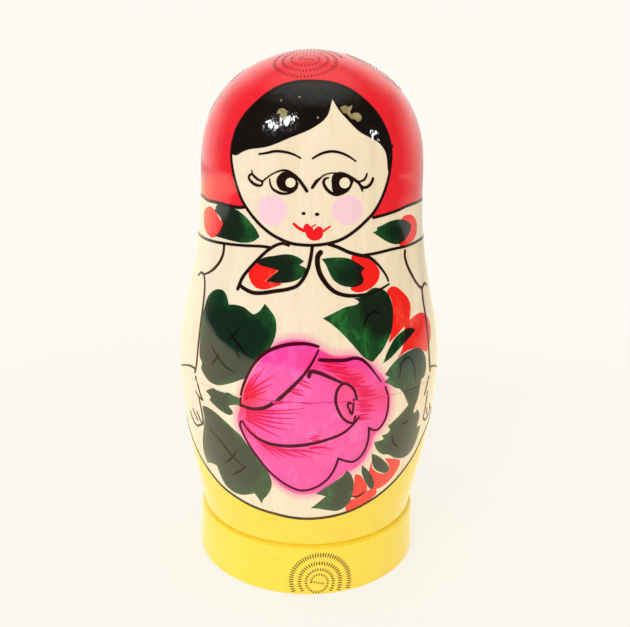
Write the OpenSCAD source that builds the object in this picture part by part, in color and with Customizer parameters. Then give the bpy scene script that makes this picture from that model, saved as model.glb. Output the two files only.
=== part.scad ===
// Nesting doll of seven turned limewood dolls, each inside the next larger one.
// Every hollow doll parts at its belly: the bottom half carries a lip, the top half a socket.
// All lengths are in millimetres. The sizes are those of the largest doll, which stands on z = 0
// with its painted face towards -Y. The smaller dolls are turned to the same pattern.

/* [Outside of the largest doll] */
// Diameter at the belly, the widest place, where the doll opens
belly_d = 83.6; // [76:0.1:100]
// Diameter of the head at its widest
head_d = 68.2; // [60:0.1:76]
// Diameter of the foot near the floor, where it is widest
foot_d = 73.2; // [69:0.1:78]
// How much the foot narrows towards its top, on the radius
foot_taper = 0.6; // [0:0.1:1.5]
// Diameter of the body just above the foot
hip_d = 70; // [67:0.1:72]
// Height of the foot
foot_h = 16; // [12:0.5:22]
// Height of the groove above the foot
groove_h = 0.5; // [0.3:0.1:1.5]
// Depth of that groove, on the radius
groove_t = 0.3; // [0.1:0.1:0.8]
// Height of the body from the groove to the seam
skirt_h = 47.5; // [42:0.5:56]
// Height from the seam to the widest part of the head
shoulder_h = 62; // [54:0.5:74]
// Height of the crown above the widest part of the head
crown_h = 34; // [28:0.5:42]
// Height of the rounded upper edge of the foot
foot_round = 2.2; // [1:0.1:4]
// Width of the broken lower edge of the foot
foot_edge = 0.6; // [0.3:0.1:2]

/* [Turned curves] */
// How soon the skirt swells out, as a share of its whole swell
skirt_swell = 0.05; // [0:0.01:0.4]
// How high that swell is aimed, as a share of the skirt's height
skirt_rise = 0.11; // [0.05:0.01:0.3]
// How far the upright belly reaches down, as a share of the skirt's height
belly_drop = 0.44; // [0.2:0.01:0.6]
// How long the belly stays upright, as a share of the shoulder's height
belly_rise = 0.32; // [0.2:0.01:0.45]
// How far the upright head reaches down, as a share of the shoulder's height
neck_drop = 0.53; // [0.4:0.01:0.7]
// How far the upright head reaches up, as a share of the crown's height
crown_rise = 0.88; // [0.6:0.01:1]
// Width of the flat of the crown, as a share of the head's width
crown_flat = 0.2; // [0.1:0.01:0.5]

/* [Lip and socket] */
// Wall of the top half around the lip
socket_wall = 3.4; // [2.6:0.1:4.2]
// Wall of the lip
lip_wall = 3.2; // [2.4:0.1:4]
// Height of the lip above the seam
lip_h = 9; // [7:0.5:12]
// Gap between the lip and its socket, on the radius
lip_fit = 0.08; // [0.05:0.01:0.1]
// Room left above the lip
socket_room = 0.6; // [0.4:0.1:1]
// How far the rim of the top half stands proud of the bottom half
seam_step = 0.15; // [0.1:0.05:0.5]
// Width of the broken edges at the seam
rim_edge = 0.2; // [0.1:0.05:0.6]

/* [Nest] */
// Gap around the next doll, on the radius
nest_gap = 2.6; // [1.6:0.1:3.4]
// Thickness of the floor that the next doll stands on
floor_t = 14; // [10:0.5:18]
// Gap above the head of the next doll
head_gap = 4; // [2:0.5:8]

/* [Hidden] */

$fn = 96;
curve_steps = 12;
edge_steps = 4;
kerchief_red = [0.92, 0.16, 0.25];
skirt_yellow = [0.98, 0.83, 0.27];

belly_r = belly_d / 2;
head_r = head_d / 2;
foot_r = foot_d / 2;
hip_r = hip_d / 2;
skirt_z = foot_h + groove_h;
seam_z = skirt_z + skirt_h;
head_z = seam_z + shoulder_h;
doll_h = head_z + crown_h;

// Sizes of doll i, counted from 0 for the largest. scale_of is its share of the largest doll's size.
function socket_r(i) = (belly_r - socket_wall) * scale_of(i);
function lip_r(i) = socket_r(i) - lip_fit;
function bore_r(i) = lip_r(i) - lip_wall * scale_of(i);
function scale_of(i) = i == 0 ? 1 : (bore_r(i - 1) - nest_gap * scale_of(i - 1)) / belly_r;

// Height at which doll i stands: on the floor of the doll around it.
function base_z(i) = i == 0 ? 0 : base_z(i - 1) + floor_t * scale_of(i - 1);

// A point at the radius r and height z of the largest doll, carried over to doll i.
function at(i, r, z) = [r * scale_of(i), base_z(i) + z * scale_of(i)];

// The points of a smooth curve from a to d, without a itself.
function curve(a, b, c, d, steps = curve_steps) = [
    for (k = [1:steps])
        let (t = k / steps, u = 1 - t)
            u ^ 3 * a + 3 * u ^ 2 * t * b + 3 * u * t ^ 2 * c + t ^ 3 * d
];

// The points of a rounded edge from a to b, without a itself.
function rounded(a, corner, b) = curve(a, (a + 2 * corner) / 3, (b + 2 * corner) / 3, b, edge_steps);

function reversed(points) = [for (k = [len(points) - 1:-1:0]) points[k]];

// The skirt from the groove up to the belly, with the belly drawn in by step.
function skirt_line(i, step) =
    let (top_r = belly_r - step)
        curve(
            at(i, hip_r, skirt_z),
            at(i, hip_r + skirt_swell * (top_r - hip_r), skirt_z + skirt_rise * skirt_h),
            at(i, top_r, seam_z - belly_drop * skirt_h),
            at(i, top_r, seam_z)
        );

// The shoulder from the belly up to the head, moved out by grow.
function shoulder_line(i, grow) =
    let (out = [grow, 0])
        curve(
            at(i, belly_r, seam_z) + out,
            at(i, belly_r, seam_z + belly_rise * shoulder_h) + out,
            at(i, head_r, head_z - neck_drop * shoulder_h) + out,
            at(i, head_r, head_z) + out
        );

// The crown from the head up to the axis, moved out by grow and made taller by rise.
function crown_line(i, grow, rise) =
    let (
        side = at(i, head_r, head_z) + [grow, 0],
        tall = crown_h * scale_of(i) + rise
    )
        curve(
            side,
            side + [0, crown_rise * tall],
            [crown_flat * side.x, side.y + tall],
            [0, side.y + tall]
        );

// The foot from the axis out to its rim, up over its rounded edge and out of the groove.
function foot_line(i) =
    let (
        top_r = foot_r - foot_taper,
        shoulder = at(i, top_r, foot_h - foot_round),
        groove = at(i, hip_r - groove_t, foot_h)
    )
        concat(
            [at(i, 0, 0), at(i, foot_r - foot_edge, 0), at(i, foot_r, foot_edge), shoulder],
            rounded(shoulder, at(i, top_r, foot_h), groove),
            [at(i, hip_r, skirt_z)]
        );

// The hollow of doll i's bottom half, from the lip down to the floor. It holds doll i + 1.
function cup_line(i) =
    let (gap = nest_gap * scale_of(i), foot = foot_r * scale_of(i + 1))
        concat(
            [at(i, 0, seam_z + lip_h) + [bore_r(i), 0]],
            [for (p = reversed(skirt_line(i + 1, 0))) [max(p.x, foot) + gap, p.y]],
            [at(i + 1, foot_r, 0) + [gap, 0], at(i + 1, 0, 0)]
        );

// The hollow of doll i's top half, from its roof down to the socket. It covers doll i + 1.
function cap_line(i) =
    let (
        gap = nest_gap * scale_of(i),
        socket_top = at(i, 0, seam_z + lip_h + socket_room).y,
        sides = [for (p = shoulder_line(i + 1, gap)) if (p.y > socket_top) p]
    )
        concat(
            reversed(crown_line(i + 1, gap, head_gap * scale_of(i))),
            reversed(sides),
            [[bore_r(i), socket_top], [socket_r(i), socket_top]]
        );

// Bottom half of doll i: foot, skirt, lip and the cup for the next doll.
module doll_bottom(i) {
    edge = rim_edge * scale_of(i);
    seam = at(i, 0, seam_z).y;
    lip_top = at(i, 0, seam_z + lip_h).y;
    skirt = skirt_line(i, seam_step);
    below_rim = [for (p = skirt) if (p.y < seam - edge) p];
    color(skirt_yellow)
        rotate_extrude()
            polygon(concat(
                foot_line(i),
                below_rim,
                [at(i, belly_r - seam_step, seam_z - rim_edge)],
                [at(i, belly_r - seam_step - rim_edge, seam_z)],
                [[lip_r(i), seam], [lip_r(i), lip_top - edge], [lip_r(i) - edge, lip_top]],
                cup_line(i)
            ));
}

// Top half of doll i: socket, shoulder, head and the hollow over the next doll.
module doll_top(i) {
    edge = rim_edge * scale_of(i);
    seam = at(i, 0, seam_z).y;
    above_rim = [for (p = shoulder_line(i, 0)) if (p.y > seam + edge) p];
    color(kerchief_red)
        rotate_extrude()
            polygon(concat(
                [[socket_r(i), seam + edge], [socket_r(i) + edge, seam]],
                [at(i, belly_r - rim_edge, seam_z), at(i, belly_r, seam_z + rim_edge)],
                above_rim,
                crown_line(i, 0, 0),
                cap_line(i)
            ));
}

// The smallest doll, turned solid in one piece.
module solid_doll(i) {
    color(kerchief_red)
        rotate_extrude()
            polygon(concat(
                foot_line(i),
                skirt_line(i, 0),
                shoulder_line(i, 0),
                crown_line(i, 0, 0)
            ));
}

doll_top(0);  // first_doll_top
doll_bottom(0);  // first_doll_bottom
doll_top(1);  // second_doll_top
doll_bottom(1);  // second_doll_bottom
doll_top(2);  // third_doll_top
doll_bottom(2);  // third_doll_bottom
doll_top(3);  // fourth_doll_top
doll_bottom(3);  // fourth_doll_bottom
doll_top(4);  // fifth_doll_top
doll_bottom(4);  // fifth_doll_bottom
doll_top(5);  // sixth_doll_top
doll_bottom(5);  // sixth_doll_bottom
solid_doll(6);  // seventh_doll
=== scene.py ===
"""Painted limewood nesting doll: seven turned dolls, each inside the next larger one."""

from __future__ import annotations

import functools
import logging
import math
from dataclasses import dataclass, replace
from enum import Enum
from typing import Iterable, Optional, Sequence

import bpy
import numpy as np
from mathutils import Matrix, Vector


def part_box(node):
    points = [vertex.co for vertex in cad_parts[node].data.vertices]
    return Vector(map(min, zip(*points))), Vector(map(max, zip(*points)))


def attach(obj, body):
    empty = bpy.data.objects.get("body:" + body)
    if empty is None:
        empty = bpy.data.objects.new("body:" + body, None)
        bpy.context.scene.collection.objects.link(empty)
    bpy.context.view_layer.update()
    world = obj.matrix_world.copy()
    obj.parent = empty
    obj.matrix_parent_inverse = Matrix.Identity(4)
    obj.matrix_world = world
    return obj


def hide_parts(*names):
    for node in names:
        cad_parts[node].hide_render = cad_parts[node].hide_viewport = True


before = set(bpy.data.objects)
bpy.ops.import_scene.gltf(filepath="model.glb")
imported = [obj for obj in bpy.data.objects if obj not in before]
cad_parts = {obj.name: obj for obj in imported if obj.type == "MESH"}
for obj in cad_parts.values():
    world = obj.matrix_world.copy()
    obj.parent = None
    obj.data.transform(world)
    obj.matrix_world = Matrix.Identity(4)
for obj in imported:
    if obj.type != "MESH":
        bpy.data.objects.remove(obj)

log = logging.getLogger("nesting_doll")

MM = 0.001
SHARP = True
Rgb = tuple[int, int, int]
Points = tuple[tuple, ...]
Spots = tuple[tuple[float, float, float, float], ...]
Pair = tuple[float, float]
Span = tuple[float, float, float]
Socket = bpy.types.NodeSocket


class Paint(Enum):
    """The brushed colours, each by the name that its pieces carry."""

    PETAL = "petals"
    LEAF = "leaves"
    VEIN = "leaf_veins"
    HAIR = "hair"
    # Pale patches and specks on the hair: partly worn paint, partly painted reflection.
    WORN = "worn_spots"
    LIPS = "lips"
    CRIMSON = "rose_streaks"
    MAROON = "rose_lines"
    BROWN = "dress_lines"
    INK = "face_lines"
    LIGHT = "eye_lights"
    CROWN_STAMP = "crown_spirals"
    FOOT_STAMP = "foot_spirals"


class Half(Enum):
    """The part of a doll that a piece of paint lies on."""

    BOTTOM = 0
    SEAM = 1
    TOP = 2


@dataclass(frozen=True)
class Area:
    """A closed painted area.

    The points are degrees round from the front and millimetres of height on the largest doll. A point that
    ends in SHARP is a corner.
    """

    points: Points
    paint: Paint
    fine: bool = False


@dataclass(frozen=True)
class Stroke:
    """A brush line along points, with widths in millimetres spread evenly from its start to its end."""

    points: Points
    widths: tuple[float, ...]
    paint: Paint
    fine: bool = False


def linear(colour: Rgb) -> tuple[float, float, float, float]:
    """Turns a colour of 0 to 255 into the linear values that a shader takes.

    Args:
        colour: red, green and blue as a screen shows them.

    Returns:
        The linear red, green and blue, with an alpha of 1.
    """
    shares = [c / 255 for c in colour]
    values = [s / 12.92 if s <= 0.04045 else ((s + 0.055) / 1.055) ** 2.4 for s in shares]
    return values[0], values[1], values[2], 1.0


def smooth_span(p: Sequence[np.ndarray], count: int) -> np.ndarray:
    """Runs a smooth curve from the second to the third of four points.

    Args:
        p: four points in a row.
        count: how many pieces the span is cut into.

    Returns:
        The points of the span without its last one.
    """
    knots = [0.0]
    for a, b in zip(p, p[1:]):
        knots.append(knots[-1] + max(math.sqrt(float(np.hypot(*(b - a)))), 1e-6))
    k0, k1, k2, k3 = knots
    t = np.linspace(k1, k2, count + 1)[:-1, None]
    a1 = (k1 - t) / (k1 - k0) * p[0] + (t - k0) / (k1 - k0) * p[1]
    a2 = (k2 - t) / (k2 - k1) * p[1] + (t - k1) / (k2 - k1) * p[2]
    a3 = (k3 - t) / (k3 - k2) * p[2] + (t - k2) / (k3 - k2) * p[3]
    b1 = (k2 - t) / (k2 - k0) * a1 + (t - k0) / (k2 - k0) * a2
    b2 = (k3 - t) / (k3 - k1) * a2 + (t - k1) / (k3 - k1) * a3
    return (k2 - t) / (k2 - k1) * b1 + (t - k1) / (k2 - k1) * b2


def smooth_run(points: np.ndarray, step: float, closed: bool = False) -> np.ndarray:
    """Runs a smooth curve through a row of points.

    Args:
        points: the points, one row each.
        step: the longest piece of the result.
        closed: whether the curve goes back to its first point.

    Returns:
        The points of the curve, with the last one only where it is open.
    """
    if closed:
        row = np.vstack([points[-1:], points, points[:2]])
    else:
        row = np.vstack([2 * points[0] - points[1], points, 2 * points[-1] - points[-2]])
    made = []
    for k in range(len(row) - 3):
        length = float(np.hypot(*(row[k + 2] - row[k + 1])))
        made.append(smooth_span(row[k : k + 4], max(1, math.ceil(length / step))))
    if not closed:
        made.append(points[-1:])
    return np.vstack(made)


def to_polyline(points: np.ndarray, line: np.ndarray) -> tuple[np.ndarray, np.ndarray]:
    """Measures points against a line of straight pieces.

    Args:
        points: the points, one row each.
        line: the corners of the line, one row each.

    Returns:
        Each point's distance from the line, and how far along the line its nearest place is.
    """
    start, run = line[:-1], np.diff(line, axis=0)
    length = np.hypot(run[:, 0], run[:, 1])
    along = np.concatenate([[0.0], np.cumsum(length)[:-1]])
    best = np.full(len(points), np.inf)
    place = np.zeros(len(points))
    for k in range(len(start)):
        if length[k] < 1e-12:
            continue
        off = points - start[k]
        share = np.clip((off @ run[k]) / length[k] ** 2, 0, 1)
        gap = np.hypot(off[:, 0] - share * run[k, 0], off[:, 1] - share * run[k, 1])
        nearer = gap < best
        best[nearer] = gap[nearer]
        place[nearer] = along[k] + share[nearer] * length[k]
    return best, place


def inside(points: np.ndarray, loop: np.ndarray) -> np.ndarray:
    """Tells which points lie inside a closed outline.

    Args:
        points: the points, one row each.
        loop: the outline's corners, one row each, without the first again at the end.

    Returns:
        True for each point inside.
    """
    x, y = points[:, 0], points[:, 1]
    result = np.zeros(len(points), bool)
    before = loop[-1]
    for corner in loop:
        crosses = (before[1] > y) != (corner[1] > y)
        if crosses.any():
            rise = corner[1] - before[1]
            at = before[0] + (y[crosses] - before[1]) * (corner[0] - before[0]) / rise
            hit = np.flatnonzero(crosses)[x[crosses] < at]
            result[hit] = ~result[hit]
        before = corner
    return result


@functools.lru_cache(maxsize=None)
def span_of(node: str) -> Pair:
    """Gives a node's lowest and highest point, in millimetres."""
    low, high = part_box(node)
    return low.z / MM, high.z / MM


def deselect_all() -> None:
    """Leaves object mode with nothing selected."""
    if bpy.context.mode != "OBJECT":
        bpy.ops.object.mode_set(mode="OBJECT")
    bpy.ops.object.select_all(action="DESELECT")


def take(piece: bpy.types.Object) -> None:
    """Selects one object alone and makes it the active one."""
    deselect_all()
    piece.select_set(True)
    bpy.context.view_layer.objects.active = piece


def add_object(name: str, data: bpy.types.ID) -> bpy.types.Object:
    """Adds an object to the scene, at the origin."""
    made = bpy.data.objects.new(name, data)
    bpy.context.scene.collection.objects.link(made)
    return made


def new_piece(name: str, verts: Iterable, edges: Iterable, faces: Iterable) -> bpy.types.Object:
    """Adds a mesh object at the origin and makes it the active one.

    Args:
        name: the piece's name.
        verts: its points, in metres or in the units of a flat sheet.
        edges: its loose edges.
        faces: its faces.

    Returns:
        The new object.
    """
    mesh = bpy.data.meshes.new(name)
    mesh.from_pydata([tuple(v) for v in verts], list(edges), list(faces))
    piece = add_object(name, mesh)
    take(piece)
    return piece


def read_all(items: bpy.types.bpy_prop_collection, key: str, wide: int, kind: type = float) -> np.ndarray:
    """Reads one property of every point, edge or face of a mesh.

    Args:
        items: the mesh's points, edges or faces.
        key: the property's name.
        wide: how many numbers it has.
        kind: the type of its numbers.

    Returns:
        Its values, one row each.
    """
    values = np.empty(len(items) * wide, kind)
    items.foreach_get(key, values)
    return values.reshape(-1, wide)


def carry(piece: bpy.types.Object, name: str, values: Sequence[float]) -> None:
    """Gives every point of a piece a value that its material can read."""
    layer = piece.data.attributes.new(name, "FLOAT", "POINT")
    layer.data.foreach_set("value", np.asarray(values, np.float32))


class Wiring:
    """Adds nodes to a node tree and links them."""

    MIX_INPUTS = (0, 6, 7)
    MIX_RESULT = 2

    def __init__(self, tree: bpy.types.NodeTree) -> None:
        """Takes the tree to work on."""
        self.tree = tree

    def add(self, kind: str, settings: Optional[dict] = None, **inputs) -> bpy.types.Node:
        """Adds one node.

        Args:
            kind: the node's type.
            settings: its own properties.
            inputs: values or sockets for its inputs, with underscores for spaces.

        Returns:
            The node.
        """
        node = self.tree.nodes.new(kind)
        for key, value in (settings or {}).items():
            setattr(node, key, value)
        for key, value in inputs.items():
            self.put(node, key.replace("_", " "), value)
        return node

    def put(self, node: bpy.types.Node, socket: str | int, value: object) -> None:
        """Sets an input to a value, or links a socket to it.

        Args:
            node: the node that has the input.
            socket: the input's name or place.
            value: a plain value or the output of another node.
        """
        if isinstance(value, Socket):
            self.tree.links.new(value, node.inputs[socket])
        else:
            node.inputs[socket].default_value = value

    def blend(self, share: object, low: object, high: object) -> Socket:
        """Mixes two colours.

        Args:
            share: how much of the second one shows, as a value or a socket.
            low: the first colour, or a socket.
            high: the second colour, or a socket.

        Returns:
            The mixed colour.
        """
        node = self.add("ShaderNodeMix", {"data_type": "RGBA"})
        for place, value in zip(self.MIX_INPUTS, (share, low, high)):
            self.put(node, place, linear(value) if isinstance(value, tuple) else value)
        return node.outputs[self.MIX_RESULT]

    def ramp(self, value: Socket, low: object, high: object, top: float = 1.0) -> Socket:
        """Turns a value into a mask that goes smoothly from 0 at low to top at high."""
        settings = {"interpolation_type": "SMOOTHSTEP"}
        node = self.add("ShaderNodeMapRange", settings, Value=value, From_Min=low, From_Max=high, To_Max=top)
        return node.outputs["Result"]

    def shade(self, share: Socket, low: Socket, high: Socket) -> Socket:
        """Mixes two shaders, the second one by the share."""
        node = self.add("ShaderNodeMixShader")
        for place, value in enumerate((share, low, high)):
            self.put(node, place, value)
        return node.outputs[0]

    def math(self, kind: str, a: object, b: object) -> Socket:
        """Combines two values by the named operation."""
        node = self.add("ShaderNodeMath", {"operation": kind})
        self.put(node, 0, a)
        self.put(node, 1, b)
        return node.outputs[0]

    def read(self, name: str) -> Socket:
        """Reads a value that the mesh carries."""
        return self.add("ShaderNodeAttribute", {"attribute_name": name}).outputs["Fac"]

    def noise(self, scale: tuple, detail: float, rough: float, twist: float = 0.0) -> Socket:
        """Adds a noise on Object coordinates.

        Args:
            scale: spots to the metre along X, Y and Z.
            detail: how many finer layers it has.
            rough: how strong the finer layers are.
            twist: how far it is distorted.

        Returns:
            The noise, around one half.
        """
        place = self.add("ShaderNodeTexCoord").outputs["Object"]
        turn = self.add("ShaderNodeMapping", None, Vector=place, Scale=scale)
        given = {"Scale": 1.0, "Detail": detail, "Roughness": rough, "Distortion": twist}
        return self.add("ShaderNodeTexNoise", None, Vector=turn.outputs[0], **given).outputs["Fac"]


class Effects:
    """The shader node groups that the finishes share.

    A pattern of theirs is a noise's scale, detail, roughness and, where it has one, distortion.
    """

    NOISE_MIDDLE = 0.5
    BROAD_GRAIN = ((260, 260, 9), 2.0, 0.5, 0.4)
    BROAD_SPAN = (0.35, 0.75)
    BROAD_SHARE = 0.55
    FINE_GRAIN = ((1700, 1700, 55), 3.0, 0.6)
    FINE_SPAN = (0.45, 0.8)
    FINE_SHARE = 0.6
    POOLS = ((150, 150, 110), 3.0, 0.6, 0.8)
    POOL_SPAN = 0.28
    HAIRS = ((900, 900, 300), 2.0, 0.5, 0.3)
    HAIR_SHARE = 0.4
    WAVES = ((420, 420, 300), 2.0, 0.5)
    WAVE_DEPTH = 0.00006
    WAVES_SHOWN = 0.35
    SMEARS = ((60, 60, 45), 2.0, 0.5)
    SMEAR_SPAN = (0.45, 0.8, 0.1)

    def __init__(self) -> None:
        """Builds each group once."""
        self.grain = self.make_grain()
        self.brushing = self.make_brushing()
        self.lacquer = self.make_lacquer()

    @staticmethod
    def start(name: str, given: str, outputs: Sequence[str]) -> tuple:
        """Starts a group.

        Args:
            name: the group's name.
            given: the name of its input.
            outputs: the names of its outputs.

        Returns:
            The group, its wiring, its input's socket and its output node.
        """
        tree = bpy.data.node_groups.new(name, "ShaderNodeTree")
        for way, key in (("INPUT", given), *(("OUTPUT", key) for key in outputs)):
            tree.interface.new_socket(name=key, in_out=way, socket_type="NodeSocketFloat")
        entry = tree.nodes.new("NodeGroupInput").outputs[given]
        return tree, Wiring(tree), entry, tree.nodes.new("NodeGroupOutput")

    def make_grain(self) -> bpy.types.NodeTree:
        """Builds limewood's grain, which runs up the doll.

        Returns:
            A group that gives a mask of dark fibre and a height for a bump.
        """
        tree, wire, strength, out = self.start("limewood grain", "Strength", ("Fibre", "Height"))
        broad = wire.ramp(wire.noise(*self.BROAD_GRAIN), *self.BROAD_SPAN)
        fine = wire.noise(*self.FINE_GRAIN)
        both = wire.math("MULTIPLY", broad, self.BROAD_SHARE)
        thin = wire.math("MULTIPLY", wire.ramp(fine, *self.FINE_SPAN), self.FINE_SHARE)
        wire.put(out, "Fibre", wire.math("MULTIPLY", wire.math("ADD", both, thin), strength))
        wire.put(out, "Height", fine)
        return tree

    def make_brushing(self) -> bpy.types.NodeTree:
        """Builds the uneven coat that a brush leaves.

        Returns:
            A group that gives a mask of thin paint and a height for a bump.
        """
        tree, wire, cover, out = self.start("brushed coat", "Cover", ("Thin", "Height"))
        pools = wire.noise(*self.POOLS)
        hairs = wire.math("SUBTRACT", wire.noise(*self.HAIRS), self.NOISE_MIDDLE)
        both = wire.math("ADD", pools, wire.math("MULTIPLY", hairs, self.HAIR_SHARE))
        wire.put(out, "Thin", wire.ramp(both, cover, wire.math("ADD", cover, self.POOL_SPAN)))
        wire.put(out, "Height", both)
        return tree

    def make_lacquer(self) -> bpy.types.NodeTree:
        """Builds the clear coat's waviness.

        Returns:
            A group that gives a roughness and a height for a bump.
        """
        tree, wire, level, out = self.start("clear lacquer", "Level", ("Roughness", "Height"))
        worn = wire.ramp(wire.noise(*self.SMEARS), *self.SMEAR_SPAN)
        wire.put(out, "Roughness", wire.math("ADD", level, worn))
        wire.put(out, "Height", wire.noise(*self.WAVES))
        return tree

    def gloss(self, wire: Wiring, shader: bpy.types.Node, level: float, ripple: float = 1.0) -> None:
        """Gives a shader the lacquer's roughness and waves.

        Args:
            wire: the material's wiring.
            shader: its shader.
            level: the roughness where nothing is worn.
            ripple: how deep the waves are against the plain lacquer's.
        """
        coat = self.place(wire, self.lacquer, Level=level).outputs
        wire.put(shader, "Roughness", coat["Roughness"])
        wire.put(shader, "Normal", bump(wire, coat["Height"], self.WAVE_DEPTH * ripple, self.WAVES_SHOWN))

    @staticmethod
    def place(wire: Wiring, tree: bpy.types.NodeTree, **values: float) -> bpy.types.Node:
        """Puts a group into a material.

        Args:
            wire: the material's wiring.
            tree: the group.
            values: its inputs.

        Returns:
            The group's node.
        """
        node = wire.add("ShaderNodeGroup", {"node_tree": tree})
        for key, value in values.items():
            node.inputs[key].default_value = value
        return node


def start_material(name: str) -> tuple[bpy.types.Material, Wiring, bpy.types.Node]:
    """Starts a material with its Principled shader.

    Args:
        name: the material's name.

    Returns:
        The material, its wiring and its shader node.
    """
    material = bpy.data.materials.new(name)
    material.use_nodes = True
    return material, Wiring(material.node_tree), material.node_tree.nodes["Principled BSDF"]


def bump(wire: Wiring, height: Socket, depth: float, strength: float) -> Socket:
    """Turns a height into a normal.

    Args:
        wire: the material's wiring.
        height: the height, from 0 to 1.
        depth: how many metres a height of 1 stands.
        strength: the share of it that shows.

    Returns:
        The normal.
    """
    node = wire.add("ShaderNodeBump", None, Strength=strength, Distance=depth, Height=height)
    return node.outputs["Normal"]


@dataclass(frozen=True)
class LacquerFinish:
    """The clear lacquer over the wood and the paint."""

    coat: float = 1.0
    coat_roughness: float = 0.05
    coat_ior: float = 1.7
    specular: float = 0.05

    def pour(self, shader: bpy.types.Node) -> None:
        """Sets the coat on a material's shader."""
        shader.inputs["Coat Weight"].default_value = self.coat
        shader.inputs["Coat Roughness"].default_value = self.coat_roughness
        shader.inputs["Coat IOR"].default_value = self.coat_ior
        shader.inputs["Specular IOR Level"].default_value = self.specular


@dataclass(frozen=True)
class PaintFinish:
    """One brushed colour: where it lies thick, where it lies thin, and how far it stands off the wood."""

    deep: Rgb
    thin: Rgb
    cover: float = 0.5
    lift: float = 0.06
    coat: float = 1.0
    ripple: float = 1.0
    roughness: float = 0.32
    bare_specular: float = 0.5

    def material(self, name: str, effects: Effects) -> bpy.types.Material:
        """Builds the material.

        Args:
            name: its name.
            effects: the shared node groups.

        Returns:
            The material.
        """
        material, wire, shader = start_material(name)
        coat = effects.place(wire, effects.brushing, Cover=self.cover)
        colour = wire.blend(coat.outputs["Thin"], self.deep, self.thin)
        wire.put(shader, "Base Color", colour)
        effects.gloss(wire, shader, self.roughness, self.ripple)
        LacquerFinish(self.coat).pour(shader)
        if self.coat == 0:
            shader.inputs["Specular IOR Level"].default_value = self.bare_specular
            shader.inputs["IOR"].default_value = LacquerFinish().coat_ior
        return material


@dataclass(frozen=True)
class LeafFinish:
    """The green of the leaves: bright where it lies thin, nearly black where it lies over a red petal."""

    deep: Rgb = (12, 41, 25)
    bright: Rgb = (40, 110, 50)
    over_red: Rgb = (32, 26, 20)
    lift: float = 0.055
    cover: float = 0.45
    brushed: Pair = (1.15, 0.35)
    roughness: float = 0.32
    lacquer: LacquerFinish = LacquerFinish()

    def material(self, name: str, effects: Effects) -> bpy.types.Material:
        """Builds the material, which reads the tones that the leaves carry.

        Args:
            name: its name.
            effects: the shared node groups.

        Returns:
            The material.
        """
        material, wire, shader = start_material(name)
        coat = effects.place(wire, effects.brushing, Cover=self.cover)
        brushed = wire.math("MULTIPLY", coat.outputs["Thin"], self.brushed[0])
        brushed = wire.math("ADD", brushed, self.brushed[1])
        light = wire.math("MULTIPLY", wire.read("light"), brushed)
        colour = wire.blend(light, self.deep, self.bright)
        colour = wire.blend(wire.read("over"), colour, self.over_red)
        wire.put(shader, "Base Color", colour)
        effects.gloss(wire, shader, self.roughness)
        self.lacquer.pour(shader)
        return material


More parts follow.
